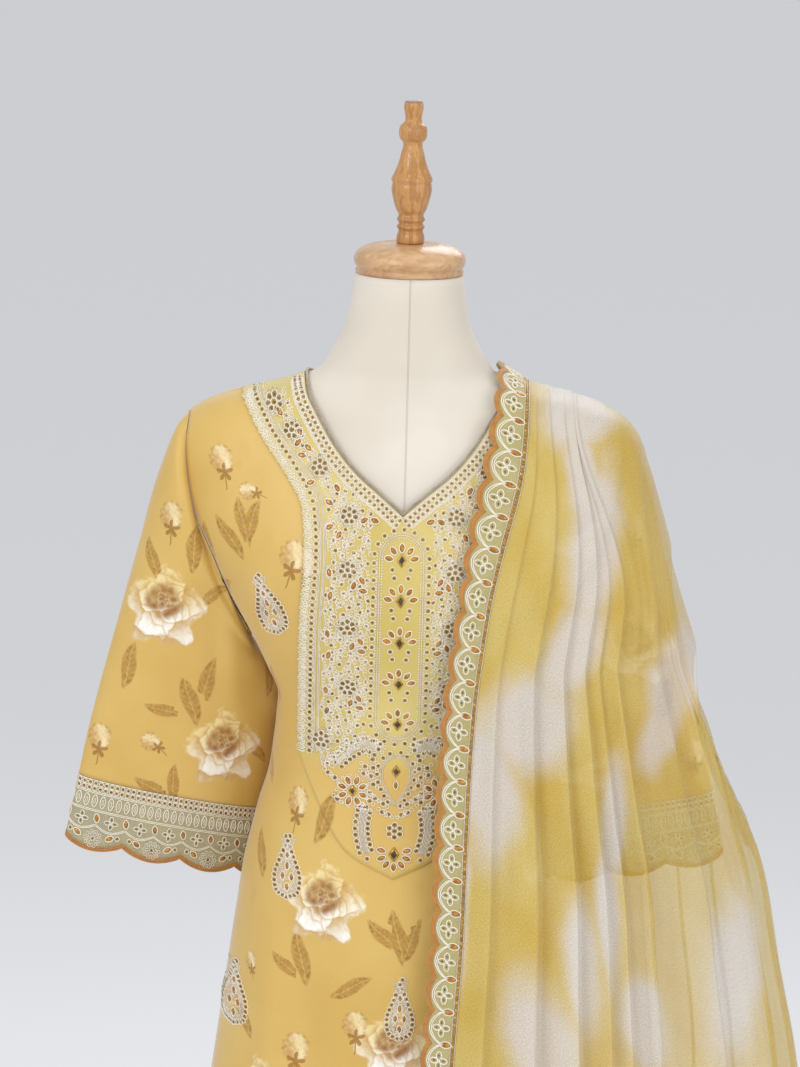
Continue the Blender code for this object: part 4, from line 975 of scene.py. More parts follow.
cotton, start, put = finish("cotton", 0.75, Sheen_Weight=0.25)
place = place_of(start)
yarn = place.times(1, 1, 0.08).noise(900.0, 2.0) + place.times(0.3, 0.3, 3).noise(900.0, 2.0)
put(Base_Color=(yarn.rise(0.8, 1.3) * 0.3 + place.noise(6.0, 3.0).rise(0.35, 0.65) * 0.25).mix(
        linear(214, 172, 88), linear(186, 140, 62)),
    Normal=start.bump(yarn + satin(place, 3000.0) * 0.1, 0.0004))
snug = CLOTH / 2 + 2 * SEAM
angle = np.arange(HIP_SIDES) / HIP_SIDES * math.tau
band = [body_ring(*[along(FORM, "z", c, z) + snug for c in SIZES], z, angle)
        for z in np.linspace(WAIST, WAIST + WAISTBAND_HEIGHT, BAND_ROWS)]
made = walled(piece("waistband", np.concatenate(band), quads(BAND_ROWS, HIP_SIDES, True), cotton,
                    "salwar_cotton", cad=["salwar_waistband"]), CLOTH)

knots = np.linspace(CROTCH + SEAM, WAIST - SEAM, 7)
heights = np.linspace(knots[0], knots[-1], HIP_ROWS)
rings = []
for z in heights:
    ring = body_ring(*[salwar_size(c, min(z, knots[-2])) for c in SIZES], z, angle)
    rise = np.clip((z - knots[-2]) / (knots[-1] - knots[-2]), 0, 1)
    rings.append(ring + rise * (band[0] - ring) * (1, 1, 0))
rings = np.stack(rings)
out = grid_normals(rings, around=True)
gathers = np.sin(angle * 44 + 0.7 * np.sin(angle * 9)) * 0.0006
fade = np.sin(np.clip((heights - 0.83) / 0.19, 0, 1) * math.pi) ** 0.7
rings = rings + out * (gathers[None] * fade[:, None])[..., None]
made = walled(piece("hips", rings.reshape(-1, 3), quads(HIP_ROWS, HIP_SIDES, True), cotton,
                    "salwar_cotton", cad=["salwar_hips"]), CLOTH)

for name, left in (("left", True), ("right", False)):
    sign = 1 if left else -1
    top = half_ring(CROTCH - SEAM, left)
    middle = (top.max(0) + top.min(0)) / 2
    bearing = np.arctan2((top - middle)[:, 1] / 0.1, (top - middle)[:, 0] / 0.085)
    rings = [top]
    for z, outer, inner, depth in LEG:
        ends = np.array([sign * outer, CROTCH_X + sign * (SEAM * 2 + inner)])
        rings.append(np.stack([ends.mean() + np.abs(np.diff(ends)) / 2 * np.cos(bearing),
                               depth * np.sin(bearing), np.full(len(top), z)], axis=1))
    rings = np.stack(rings)
    knots = np.concatenate([[CROTCH - SEAM], LEG[:, 0]])
    share = np.linspace(0, 1, LEG_ROWS)
    grid = smooth(-knots, rings, -(knots[0] + (knots[-1] - knots[0]) * share))[::-1]
    out = grid_normals(grid, around=True)
    free = np.clip(sign * np.cos(bearing) + 0.55, 0, 1)
    waves = (np.sin(bearing * 7 + 1.0) * 0.0022 + np.sin(bearing * 11 + sign) * 0.0012)
    fade = np.clip((0.79 - grid[..., 2]) / 0.25, 0, 1)
    grid = grid + out * (waves * free * fade)[..., None]
    made = walled(piece("leg_" + name, grid.reshape(-1, 3), quads(LEG_ROWS, len(top), True),
                        cotton, "salwar_cotton", cad=["salwar_leg_" + name]), CLOTH)

# Dupatta: 2.1 m of sheer crinkled cloth, tie-dyed yellow and off-white. One length lies over the
# wearer's left shoulder, half in front and half behind, in pleats that open as they fall.
DUPATTA = columns("z half_width front back", [
    (0.06, 0.415, 0.165, 0.174), (0.4, 0.41, 0.158, 0.168), (0.6, 0.402, 0.148, 0.156),
    (0.763, 0.389, 0.139, 0.147), (0.869, 0.367, 0.135, 0.14), (0.943, 0.353, 0.134, 0.134),
    (1.02, 0.328, 0.134, 0.128), (1.1, 0.304, 0.135, 0.122), (1.15, 0.2875, 0.136, 0.119),
    (1.204, 0.271, 0.135, 0.116), (1.25, 0.258, 0.129, 0.113), (1.3, 0.245, 0.115, 0.108),
    (1.339, 0.234, 0.1, 0.101), (1.358, 0.2265, 0.091, 0.096), (1.3715, 0.2195, 0.0835, 0.0905),
    (1.3825, 0.2105, 0.078, 0.086), (1.391, 0.199, 0.0745, 0.083), (1.3975, 0.1845, 0.071, 0.0805),
    (1.4044, 0.164, 0.068, 0.0775), (1.4114, 0.1355, 0.065, 0.0745),
    (1.4189, 0.109, 0.0625, 0.0715), (1.427, 0.0945, 0.061, 0.0695), (1.436, 0.086, 0.06, 0.068),
])
DUPATTA_POWER = columns("z power", [(1.2, 2.0), (1.36, 2.4)])
INNER_EDGE = {
    "front": columns("z x", [
        (0.06, 0.011), (0.4, 0.018), (0.6, 0.024), (0.778, 0.029), (0.897, 0.035), (1.002, 0.0367),
        (1.079, 0.0385), (1.145, 0.0424), (1.189, 0.0475), (1.242, 0.0546), (1.29, 0.0603),
        (1.339, 0.0703), (1.379, 0.0777), (1.414, 0.083), (1.436, 0.086),
    ]),
    "back": columns("z x", [
        (0.06, 0.035), (0.4, 0.04), (0.8, 0.048), (1.1, 0.06), (1.3, 0.074), (1.4, 0.083),
        (1.436, 0.086),
]),
}
RIDGE = columns("share z fall", [
    (0.0, 1.4165, 1.01), (0.25, 1.407, 1.015), (0.5, 1.391, 1.03), (0.58, 1.364, 1.035),
    (0.66, 1.32, 1.03), (0.8, 1.25, 1.025), (1.0, 1.16, 1.01),
])
PLEATS = {
    "front": columns("edge height", [
        (0.055, 0.55), (0.152, 0.95), (0.234, 0.85), (0.3, 0.8), (0.345, 0.55), (0.405, 1.0),
        (0.59, 0.6), (0.79, 0.45), (1.0, 0.3),
]),
    "back": columns("edge height", [
        (0.09, 0.8), (0.18, 0.7), (0.29, 1.0), (0.38, 0.75), (0.49, 0.95), (0.61, 0.7),
        (0.79, 0.55), (1.0, 0.3),
]),
}
PLEAT_DEPTH = columns("z depth", [
    (0.06, 0.028), (0.6, 0.024), (0.9, 0.019), (1.05, 0.014), (1.2, 0.0075), (1.36, 0.003),
    (1.432, 0.0008),
])
PLEAT_STEP = 0.88
SHOWN_WIDTH, FALL = 0.5, 1.02
APEX, OUTER_SLIT, SPREAD, BORDER = 1.16, 0.05, 0.2, 0.033
FALL_ROWS, WIDTH_COLUMNS = 155, 210
# Off-white places of the dye, in front and behind: middle, half sizes and lean
WHITE = {
    "front": columns("x z half_width half_height lean", [
        (0.162, 1.395, 0.034, 0.03, 0.0), (0.17, 1.33, 0.016, 0.06, 0.2),
        (0.18, 1.275, 0.022, 0.08, -0.1), (0.16, 1.18, 0.024, 0.055, -0.4),
        (0.12, 1.11, 0.042, 0.05, -0.9), (0.088, 1.05, 0.026, 0.07, 0.1),
        (0.262, 1.145, 0.024, 0.045, -0.3), (0.248, 1.1, 0.018, 0.04, -0.3),
        (0.205, 1.02, 0.01, 0.06, 0.0), (0.202, 0.925, 0.011, 0.07, 0.1),
        (0.178, 0.88, 0.016, 0.06, 0.1), (0.14, 0.81, 0.032, 0.06, 0.3),
        (0.325, 0.86, 0.026, 0.075, 0.0), (0.24, 0.82, 0.02, 0.05, 0.2),
        (0.062, 0.94, 0.01, 0.08, 0.0), (0.11, 0.62, 0.045, 0.05, -0.6),
        (0.22, 0.6, 0.03, 0.08, 0.2), (0.32, 0.52, 0.035, 0.08, 0.0),
        (0.08, 0.4, 0.025, 0.09, 0.1), (0.18, 0.38, 0.05, 0.045, -0.4),
]),
    "back": columns("x z half_width half_height lean", [
        (0.15, 1.39, 0.036, 0.04, 0.0), (0.12, 1.26, 0.022, 0.09, 0.1),
        (0.2, 1.19, 0.045, 0.05, -0.7), (0.26, 1.06, 0.03, 0.07, 0.0),
        (0.13, 1.02, 0.04, 0.06, 0.5), (0.09, 0.88, 0.02, 0.09, 0.0),
        (0.21, 0.86, 0.05, 0.05, -0.5), (0.32, 0.8, 0.03, 0.08, 0.1),
        (0.12, 0.66, 0.04, 0.07, 0.3), (0.25, 0.6, 0.04, 0.06, -0.6),
        (0.35, 0.48, 0.03, 0.07, 0.0), (0.1, 0.43, 0.03, 0.07, 0.0), (0.2, 0.38, 0.05, 0.04, 0.4),
]),
}


def pleat_shape(side, share):
    """Soft pleats: each one comes forward towards its edge, then steps back under it."""
    edges, heights = PLEATS[side]["edge"], PLEATS[side]["height"]
    starts = np.concatenate([[0], edges[:-1]])
    which = np.clip(np.searchsorted(edges, share), 0, len(starts) - 1)
    t = (share - starts[which]) / (edges[which] - starts[which])
    rise = np.clip(t / PLEAT_STEP, 0, 1)
    fall = np.clip((t - PLEAT_STEP) / (1 - PLEAT_STEP), 0, 1)
    return heights[which] * (rise * rise * (3 - 2 * rise) - fall * fall * (3 - 2 * fall))


def dupatta_inner(side, z):
    return along(INNER_EDGE[side], "z", "x", z)


def envelope_point(side, x, z):
    """A point of the dupatta's smooth envelope, from its distance from the middle."""
    power = along(DUPATTA_POWER, "z", "power", z)
    reach = np.clip(x / along(DUPATTA, "z", "half_width", z), 0, 1)
    depth = along(DUPATTA, "z", side, z) * (1 - reach**power) ** (1 / power)
    return np.stack([x, depth, z], axis=-1)


def fall_heights(side, x_at, top, hem, shares):
    """Heights at given shares of the length of a line that falls over the dupatta's envelope."""
    z = top - (top - hem) * np.linspace(0, 1, 600) ** 3
    line = envelope_point(side, x_at(z), z)
    length = run_along(line)
    return np.interp(np.asarray(shares) * length[-1], length, z)


def column_x(side, share, z):
    """How far out one share of the dupatta's width hangs at a height. Low down, the width is
    spread round the envelope as angles. Near the shoulder each column hangs straight down."""
    width = along(DUPATTA, "z", "half_width", z)
    power = along(DUPATTA_POWER, "z", "power", z)
    first = np.arcsin(np.clip((dupatta_inner(side, z) + BORDER) / width, 0, 1) ** (power / 2))
    fine = np.linspace(0, 1, 400)
    crossing = np.interp(-z, -along(RIDGE, "share", "z", fine), fine)
    turn = first + (math.pi / 2 - first) * np.clip(share / np.maximum(crossing, 1e-6), 0, 1)
    low = width * np.sin(turn) ** (2 / power)
    ridge = along(RIDGE, "share", "z", share)
    top = along(DUPATTA, "z", "half_width", ridge)
    down = np.clip((ridge - z) / SPREAD, 0, 1)
    return np.minimum(top + down * down * (3 - 2 * down) * (low - top), width)


def dyed_white(side, x, z):
    """1 in the middle of the off-white places and falling to 0 outside them."""
    total = np.zeros(x.shape)
    table = WHITE[side]
    for i in range(len(table["x"])):
        c, s = math.cos(table["lean"][i]), math.sin(table["lean"][i])
        dx, dz = x - table["x"][i], z - table["z"][i]
        far = (((dx * c + dz * s) / table["half_width"][i]) ** 2
               + ((dz * c - dx * s) / table["half_height"][i]) ** 2)
        total = np.maximum(total, np.exp(-0.7 * far))
    return total


shares = np.linspace(0, 1, FALL_ROWS) ** 1.4
falls, whites = {}, {}
share = np.linspace(0, 1, WIDTH_COLUMNS)
for side, sign in (("front", -1), ("back", 1)):
    ridge = along(RIDGE, "share", "z", share)
    hem = ridge - along(RIDGE, "share", "fall", share)
    z = np.stack([fall_heights(side, lambda z, s=s: column_x(side, s, z), *ends, shares)
                  for s, *ends in zip(share, ridge, hem)], axis=1)
    at = np.broadcast_to(share, z.shape)
    sheet = envelope_point(side, column_x(side, at, z), z) * (1, sign, 1)
    sheet[0, :, 1] = 0
    falls[side] = sheet
    whites[side] = dyed_white(side, sheet[..., 0], z)
# Rows run from the front hem, over the ridge, to the back hem
sheet = np.concatenate([falls["front"][::-1], falls["back"][1:]])
at = np.broadcast_to(share, sheet.shape[:2])
run = np.concatenate([-shares[::-1], shares[1:]])
out = grid_normals(sheet)
turn = 0.5 + 0.5 * np.sin(np.clip(run / 0.1, -1, 1) * math.pi / 2)[:, None]
pleat = (1 - turn) * pleat_shape("front", at) + turn * pleat_shape("back", at)
push = along(PLEAT_DEPTH, "z", "depth", sheet[..., 2]) * pleat
crease = (np.sin(at * 150 + np.sin(run * 30)[:, None]) * 0.0003
          + np.sin(at * 61 + run[:, None] * 6) * 0.0005) * np.clip(np.abs(run) / 0.2, 0, 1)[:, None]
slit = OUTER_SLIT * np.clip((APEX - sheet[..., 2]) / APEX, 0, 1) * at
lean = np.clip(run / 0.004, -1, 1)[:, None]
sheet = sheet + out * (push + crease * (at > 0.01))[..., None]
sheet[..., 1] += lean * (SEAM + slit) / 2
white = np.concatenate([whites["front"][::-1], whites["back"][1:]])
turn = np.clip(0.5 + run / 0.04, 0, 1)[:, None]
ridge_white = dyed_white("front", sheet[..., 0], sheet[..., 2]) * (1 - turn) + dyed_white(
    "back", sheet[..., 0], sheet[..., 2]) * turn
white = np.where(np.abs(run)[:, None] < 0.03, ridge_white, white)

sheer, start, put = finish("sheer", 0.5, Sheen_Weight=0.3)
flat = start.node("UVMap", uv_map="cloth")
dye = start.node("Attribute", {}, 2, attribute_name="white")
wander = (flat.noise(14.0, 3.0) - 0.5) * 0.6 + (flat.noise(400.0, 2.0) - 0.5) * 0.16
pale = (dye + wander).rise(0.2, 0.8)
yarns = flat.times(1, 0.35).noise(1500.0, 2.0) + flat.times(0.35, 1).noise(1500.0, 2.0)
crinkle = flat.times(1, 0.1).noise(320.0, 3.0)
outwards = place_of(start).parts()[0].rise(0.17, 0.28)
deep = flat.noise(11.0, 3.0).rise(0.35, 0.7)
yellow = deep.mix(linear(222, 196, 108), linear(216, 182, 76))
put(Base_Color=(yarns.rise(0.8, 1.25) * 0.18).mix(pale.mix(yellow, linear(228, 220, 210)),
                                                  linear(150, 128, 70)),
    Alpha=0.88 - yarns.rise(0.7, 1.2) * 0.16 - outwards * 0.26,
    Normal=start.bump(crinkle * 0.4 + yarns * 0.2, 0.0004))
flat = np.stack([at * SHOWN_WIDTH, np.broadcast_to(run[:, None] * FALL, at.shape)], axis=2)
rows = len(run)
made = piece("dupatta", sheet.reshape(-1, 3), quads(rows, WIDTH_COLUMNS), sheer, "dupatta_sheer",
             {"cloth": flat.reshape(-1, 2)}, cad=["dupatta_front", "dupatta_back"])
made.data.attributes.new("white", "FLOAT", "POINT").data.foreach_set(
    "value", white.astype(np.float32).ravel())

# Dupatta's border: a strip of olive-yellow net, its free edge cut in scallops. Its straight
# edge is sewn along the dupatta's inner edge, from hem to hem over the shoulder.
SCALLOP, SCALLOP_DEPTH = 0.03, 0.006
BORDER_STEPS, BORDER_COLUMNS = 12, 5
border_net = net("border_net", (204, 190, 126), (214, 200, 138))


def border_edges(side, sheet, steps):
    """The strip's inner and outer edges down one fall, with the share of it passed."""
    sign = -1 if side == "front" else 1
    count = int(round(RIDGE["fall"][0] / SCALLOP)) * steps
    down = np.linspace(0, 1, count + 1)
    fine = np.linspace(1.4, 1.436, 400)
    top = fine[np.argmin(np.abs(along(DUPATTA, "z", "half_width", fine)
                                - dupatta_inner(side, fine)))]
    z = fall_heights(side, lambda z: dupatta_inner(side, z), top, sheet[:, 2].min(), down)
    inner = envelope_point(side, dupatta_inner(side, z), z)
    inner[0, 1] = 0
    inner[:, 1] = sign * (inner[:, 1] + SEAM / 2)
    outer = spaced_line(sheet, down)
    across = inner - outer
    outer = outer + 2 * SEAM * across / np.linalg.norm(across, axis=1, keepdims=True)
    return inner, outer, down * count / steps


half_rows = FALL_ROWS - 1
edges = {"front": border_edges("front", sheet[half_rows::-1, 0], BORDER_STEPS),
         "back": border_edges("back", sheet[half_rows:, 0], BORDER_STEPS)}
inner, outer = (np.concatenate([edges["front"][i][::-1], edges["back"][i][1:]]) for i in (0, 1))
place_in = np.concatenate([-edges["front"][2][::-1], edges["back"][2][1:]])
ridge_row = len(edges["front"][2]) - 1
for line in (inner, outer):
    line[ridge_row, 1] = 0
lobe = np.abs(np.cos(place_in * math.pi))[:, None]
full = inner
inner = full - (1 - lobe**0.8) * SCALLOP_DEPTH / BORDER * (full - outer)
share = np.linspace(0, 1, BORDER_COLUMNS)[None, :, None]
strip = inner[:, None] + (outer - inner)[:, None] * share
made = walled(piece("dupatta_border_net", strip.reshape(-1, 3),
                    quads(len(strip), BORDER_COLUMNS), border_net, "dupatta_lace",
                    cad=["dupatta_border_front", "dupatta_border_back"]), TRIM)

# Embroidery: cream and grey thread, twisted and looped, with sequins and stones sewn down between.
# Every motif is laid out flat in the cloth's own two directions and then placed on it.
MATERIALS = {
    "cream": thread("cream_thread", (253, 247, 232), (232, 218, 190)),
    "silver": thread("silver_thread", (244, 234, 214), (196, 182, 158), 0.42, 0.1),
    "brown": thread("brown_thread", (206, 140, 58), (160, 94, 28)),
}
GOLDEN_ANGLE = 2.39996
THREAD_SIDES = 4


def sequin(name, pale, dark, roughness=0.28, metallic=0.65):
    """Foil sequins: each a little different in tone, with a crackled shine."""
    material, start, put = finish(name, roughness, metallic, Coat_Weight=0.3)
    place = place_of(start)
    each = place.noise(260.0, 1.0)
    crackle = place.noise(1500.0, 3.0)
    put(Base_Color=(each.rise(0.3, 0.7) * 0.7 + crackle * 0.3).mix(linear(*pale), linear(*dark)),
        Roughness=crackle * 0.3 + 0.15, Normal=start.bump(crackle, 0.0002))
    return material


MATERIALS["amber"] = sequin("amber_sequin", (214, 152, 66), (150, 92, 34))
# Painted shade: dark domes that fill the holes in the middle of ring sequins and thread loops.
MATERIALS["smoke"] = sequin("smoke_sequin", (148, 126, 86), (86, 70, 46), 0.2, 0.5)
MATERIALS["stone"] = sequin("dark_stone", (84, 66, 34), (26, 20, 12), 0.08, 0.1)
MATERIALS["gilt"] = sequin("gilt_frame", (222, 180, 96), (164, 118, 44), 0.3, 0.9)


def across_and_up(a, b):
    """Flat points from their two directions, either of which may be one number for all."""
    return np.stack(np.broadcast_arrays(a, b), axis=-1).astype(float)


def sewn(paths, place, lift, radius, closed=False, flat=1.0):
    """Threads along flat paths of one length, given as (path, step, two directions). Each is a
    square tube: the path plus radius times cos and sin of the angle, side and over the cloth."""
    paths = np.asarray(paths, float)
    points = place(paths[..., 0], paths[..., 1], lift)
    up = unit(place(paths[..., 0], paths[..., 1], lift + 0.001) - points)
    if closed:
        along_it = np.roll(points, -1, axis=1) - np.roll(points, 1, axis=1)
    else:
        along_it = np.gradient(points, axis=1)
    side = unit(np.cross(up, along_it))
    over = unit(np.cross(along_it, side))
    corner = np.arange(THREAD_SIDES)
    a = (corner + 0.5) / THREAD_SIDES * math.tau
    ring = points[:, :, None] + radius * (np.cos(a)[:, None] * side[:, :, None]
                                          + flat * np.sin(a)[:, None] * over[:, :, None])
    count, steps = points.shape[:2]
    faces = quads(steps + closed, THREAD_SIDES, True) % (steps * THREAD_SIDES)
    if not closed:
        faces = np.concatenate([faces, [corner[::-1]], [(steps - 1) * THREAD_SIDES + corner]])
    faces = faces[None] + (np.arange(count) * steps * THREAD_SIDES)[:, None, None]
    return ring.reshape(-1, 3), [faces.reshape(-1, 4)]


def turned_shape(shape, at, size, turn):
    """A flat shape scaled in its two directions, turned, and moved to each of many spots."""
    u, v = shape[:, 0] * size[:, :1], shape[:, 1] * size[:, 1:]
    c, s = np.cos(turn), np.sin(turn)
    return np.stack([at[:, :1] + c * u - s * v, at[:, 1:] + s * u + c * v], axis=2)


def many(at, size, turn):
    """Spots, with a size and a turn for each of them."""
    at = np.asarray(at, float).reshape(-1, 2)
    return (at, np.broadcast_to(np.asarray(size, float), at.shape),
            np.broadcast_to(turn, len(at))[:, None])


def domes(outline, at, size, turn, place, height, lift=0.0):
    """Closed low domes of one outline, each with its middle, its two sizes and its turn."""
    at, size, turn = many(at, size, turn)
    layers = []
    for share, rise in ((1.0, 0.0), (0.82, 0.7), (0.4, 1.0)):
        flat = turned_shape(outline * share, at, size, turn)
        layers.append(place(flat[..., 0], flat[..., 1], lift + rise * height))
    ends = [place(at[:, :1], at[:, 1:], lift + rise) for rise in (height, 0.0)]
    points = np.concatenate([*layers, *ends], axis=1)
    m = len(outline)
    ring = np.arange(m)
    after = (ring + 1) % m
    fans = np.concatenate([np.stack([2 * m + ring, 2 * m + after, np.full(m, 3 * m)], axis=1),
                           np.stack([after, ring, np.full(m, 3 * m + 1)], axis=1)])
    first = (np.arange(len(at)) * (3 * m + 2))[:, None, None]
    return points.reshape(-1, 3), [(quads(3, m, True)[None] + first).reshape(-1, 4),
                                   (fans[None] + first).reshape(-1, 3)]


def gathered(parts):
    """Many closed shapes as the points and faces of one mesh."""
    points, fours, threes, count = [], [], [], 0
    for made, faces in parts:
        for f in faces:
            (fours if f.shape[1] == 4 else threes).append(f + count)
        points.append(made)
        count += len(made)
    return np.concatenate(points), [np.concatenate(f) for f in (fours, threes) if f]


def mirrored(points, faces):
    """The same shapes on the other side of the middle, their outsides kept out."""
    return points * (-1, 1, 1), [f[:, ::-1] for f in faces]


def mirrored_too(points, faces):
    other, turned_faces = mirrored(points, faces)
    return (np.concatenate([points, other]),
            [np.concatenate([f, g + len(points)]) for f, g in zip(faces, turned_faces)])


def circle(count):
    a = np.arange(count) / count * math.tau
    return np.stack([np.cos(a), np.sin(a)], axis=1)


LENS = circle(10)
LENS[:, 1] *= 1 - 0.35 * LENS[:, 0] ** 2
DIAMOND = np.array([(1, 0), (0.52, 0.52), (0, 1), (-0.52, 0.52), (-1, 0), (-0.52, -0.52),
                    (0, -1), (0.52, -0.52)])
PETAL = 0.0037, 0.0021
QUARTERS = np.radians([0, 90, 180, 270])


class Embroidery:
    """Stitches and sequins on one cloth, gathered by their material and then made into pieces.

    The lift is how far the middles of the threads lie off the cloth's middle, and a rise is
    added to it. Loops are closed threads round spots, each with two half sizes and a turn.
    """

    def __init__(self, place, lift):
        self.place, self.lift, self.parts = place, lift, {kind: [] for kind in MATERIALS}

    def line(self, kind, paths, radius, closed=False, rise=0.0, flat=1.0):
        self.parts[kind].append(sewn(paths, self.place, self.lift + rise, radius, closed, flat))

    def loops(self, kind, spots, size, turn=0.0, steps=8, radius=0.0005, rise=0.0, pointed=0.0):
        shape = circle(steps)
        shape[:, 1] *= 1 - pointed * np.abs(shape[:, 0]) ** 2
        self.line(kind, turned_shape(shape, *many(spots, size, turn)), radius, True, rise)

    def domes(self, kind, outline, spots, size, turn=0.0, height=0.0009, rise=-0.0003):
        self.parts[kind].append(
            domes(outline, spots, size, turn, self.place, height, self.lift + rise))

    def rings(self, spots, radius=0.0021, rise=0.0):
        """Sewn sequins: a cream loop of thread, a gilt ring inside it and a dark dome in the
        middle, painted shade in the sequin's hole.
        """
        self.loops("cream", spots, radius * 1.22, rise=rise)
        self.loops("gilt", spots, radius * 0.66, 0.0, 7, 0.0004, rise)
        # A dark dome: painted shade in the sequin's hole.
        self.domes("smoke", circle(5), spots, radius * 0.42, 0.0, 0.0004, rise)

    def petals(self, spots, size=PETAL, turn=0.0, rise=0.0):
        """Pointed sequins, each with a thread laid round it."""
        self.domes("amber", LENS, spots, size, turn, rise=rise - 0.0003)
        self.loops("cream", spots, np.asarray(size) + 0.0008, turn, 12, 0.0006, rise, 0.3)

    def stone(self, x, z, size=1.0):
        """A dark pointed stone in a gilt frame."""
        self.domes("stone", DIAMOND, [(x, z)], (0.0031 * size, 0.0044 * size), 0.0, 0.0022, 0.0)
        self.domes("gilt", DIAMOND, [(x, z)], (0.0047 * size, 0.0068 * size), 0.0, 0.001)

    def flower(self, spots, reach, petal, hole, radius):
        """Four pointed loops round each spot, with a dark dome in each of them, painted shade in
        the loop's hole.
        """
        for angle in QUARTERS:
            ahead = spots + reach * np.array([math.cos(angle), math.sin(angle)])
            self.loops("cream", ahead, petal, angle, 10, radius, 0.0, 0.2)
            # A dark dome: painted shade in the loop's hole.
            self.domes("smoke", circle(6), ahead, hole, angle, 0.0006, -0.0002)

    def make(self, name, slot, shape=lambda *made: made):
        """One piece for each material that is used, its shapes passed through shape."""
        for kind, parts in self.parts.items():
            if parts:
                piece(name.format(kind), *shape(*gathered(parts)), MATERIALS[kind], slot)


def beads_along(path, pitch, offset=0.0, start=0.0):
    """Points spaced along a path of the front, moved to its left by the offset, and the angle
    of the path at each."""
    path = np.asarray(path, float)
    lengths = run_along(on_front(path[:, 0], path[:, 1], 0.0))
    at = np.arange(start, lengths[-1], pitch)
    spots = np.stack([np.interp(at, lengths, c) for c in path.T], axis=1)
    ways = unit(np.stack([np.interp(at, lengths, c) for c in np.gradient(path, axis=0).T], axis=1))
    return spots + offset * ways[:, ::-1] * (-1, 1), np.arctan2(ways[:, 1], ways[:, 0])


def fan(middle, radius, angles):
    """Spots at angles round a middle, and the angles for turning what lies there."""
    angles = np.radians(angles)
    return np.asarray(middle) + radius * np.stack([np.cos(angles), np.sin(angles)], axis=1), angles


def on_front(x, z, lift):
    """A point of the front, this far off the middle of its cloth, folds included."""
    x, z, lift = np.broadcast_arrays(np.asarray(x, float), np.asarray(z, float), lift)
    step = 0.0006

    def depth(a, b):
        return cloth_depth("front", a, b) + folded(FRONT_FOLDS, a, b)

    slope = np.stack([(depth(x + step, z) - depth(x - step, z)) / (2 * step), np.ones(x.shape),
                      (depth(x, z + step) - depth(x, z - step)) / (2 * step)], axis=-1)
    return np.stack([x, -depth(x, z), z], axis=-1) - unit(slope) * lift[..., None]


# Embroidered sides of the yoke: rows of sequins along the neck and the outer edge, and between
# them curls, rosettes and petals. The wearer's left side is made, and the right mirrors it.
THREAD_LIFT = 0.0002
YOKE_TOP = CLOTH / 2 + SEAM + TRIM
FROM_SHOULDER = 0.0035


def below_shoulder(spots):
    return spots[..., 1] < shoulder_height(spots[..., 0]) - FROM_SHOULDER


neck_line, edge_line = (spaced([*zip(line["x"], line["z"]), end], np.linspace(0, 1, 400))
                        for line, end in ((NECKLINE, (0.0964, 1.419)),
                                          (YOKE_EDGE, (0.1545, 1.401))))
neck_line, edge_line = (line[below_shoulder(line)] for line in (neck_line, edge_line))
sides_work = Embroidery(on_front, YOKE_TOP + THREAD_LIFT)
# Round the neck: two rows of rings between lines of thread
for offset in (-0.0042, -0.0094):
    sides_work.rings(beads_along(neck_line, 0.0056, offset)[0], 0.002)
spots, ways = beads_along(neck_line, 0.0021, -0.0068)
sides_work.loops("cream", spots, (0.0052, 0.001), ways + math.pi / 2, 10, 0.0004, -0.0002)
for offset in (-0.0012, -0.0124, -0.0134):
    sides_work.line("cream", [beads_along(neck_line, 0.0016, offset)[0]], 0.0005)
# Down the outer edge: a scribbled fringe, sequin rings and a double cord
for pitch, offset, length in ((0.0026, 0.004, 0.0036), (0.0031, 0.0062, 0.0026)):
    spots, ways = beads_along(edge_line, pitch, offset)
    wild = np.sin(np.arange(len(spots)) * GOLDEN_ANGLE)
    spots = spots + np.stack([np.roll(wild, 5), np.roll(wild, 9)], axis=1) * 0.0009
    sides_work.loops("cream", spots, (length, 0.0013), ways + math.pi / 2 + wild * 0.7, 8, 0.00045)
sides_work.rings(beads_along(edge_line, 0.0062, 0.0118)[0])
for offset in (0.015, 0.0162, 0.019, 0.0202):
    sides_work.line("silver", [beads_along(edge_line, 0.0016, offset)[0]], 0.0006)


def between(spots, gap):
    """Where the ground between the neck's rows and the outer rows is, this far from both."""
    x, z = spots[..., 0], spots[..., 1]
    neck = np.where(z > NECKLINE["z"][0], np.interp(z, *neck_line.T[::-1]) + 0.0185, 0)
    edge = np.interp(z, *edge_line.T[::-1]) - np.interp(z, (1.3, 1.34), (0.0215, 0.029))
    low = np.interp(z, (1.055, 1.085), (0.06, 0.0285))
    return ((x > np.maximum(neck, np.where(z < 1.29, low, 0.0)) + gap) & (x < edge - gap)
            & below_shoulder(spots) & (z > 1.058))


# The ground is covered with curls of thread and with sewn sequins
CURL, CURL_PITCH, CURL_STEPS = 0.0023, 0.0034, 7
turns = np.arange(0, 0.36 / CURL_PITCH, 1 / CURL_STEPS)
for i, x in enumerate(np.arange(0.031, 0.15, 0.0047)):
    phase = turns * math.tau + i * GOLDEN_ANGLE
    radius = CURL * (0.85 + 0.25 * np.sin(turns * GOLDEN_ANGLE / 2))
    curl = np.stack([x + radius * np.cos(phase) + 0.0012 * np.sin(turns * 0.9 + i * 2.1),
                     1.06 + turns * CURL_PITCH + radius * np.sin(phase)], axis=1)
    inside = between(curl, 0.0) & (np.sin(turns * 0.31 + i * 1.7) + np.sin(turns * 0.83 + i) > -1.2)
    ends = np.flatnonzero(np.diff(np.concatenate([[0], inside.astype(int), [0]])))
    for first, last in zip(ends[::2], ends[1::2]):
        if last - first > CURL_STEPS:
            sides_work.line("cream", [curl[first:last]], 0.00045)
i, j = np.meshgrid(np.arange(16), np.arange(42), indexing="ij")
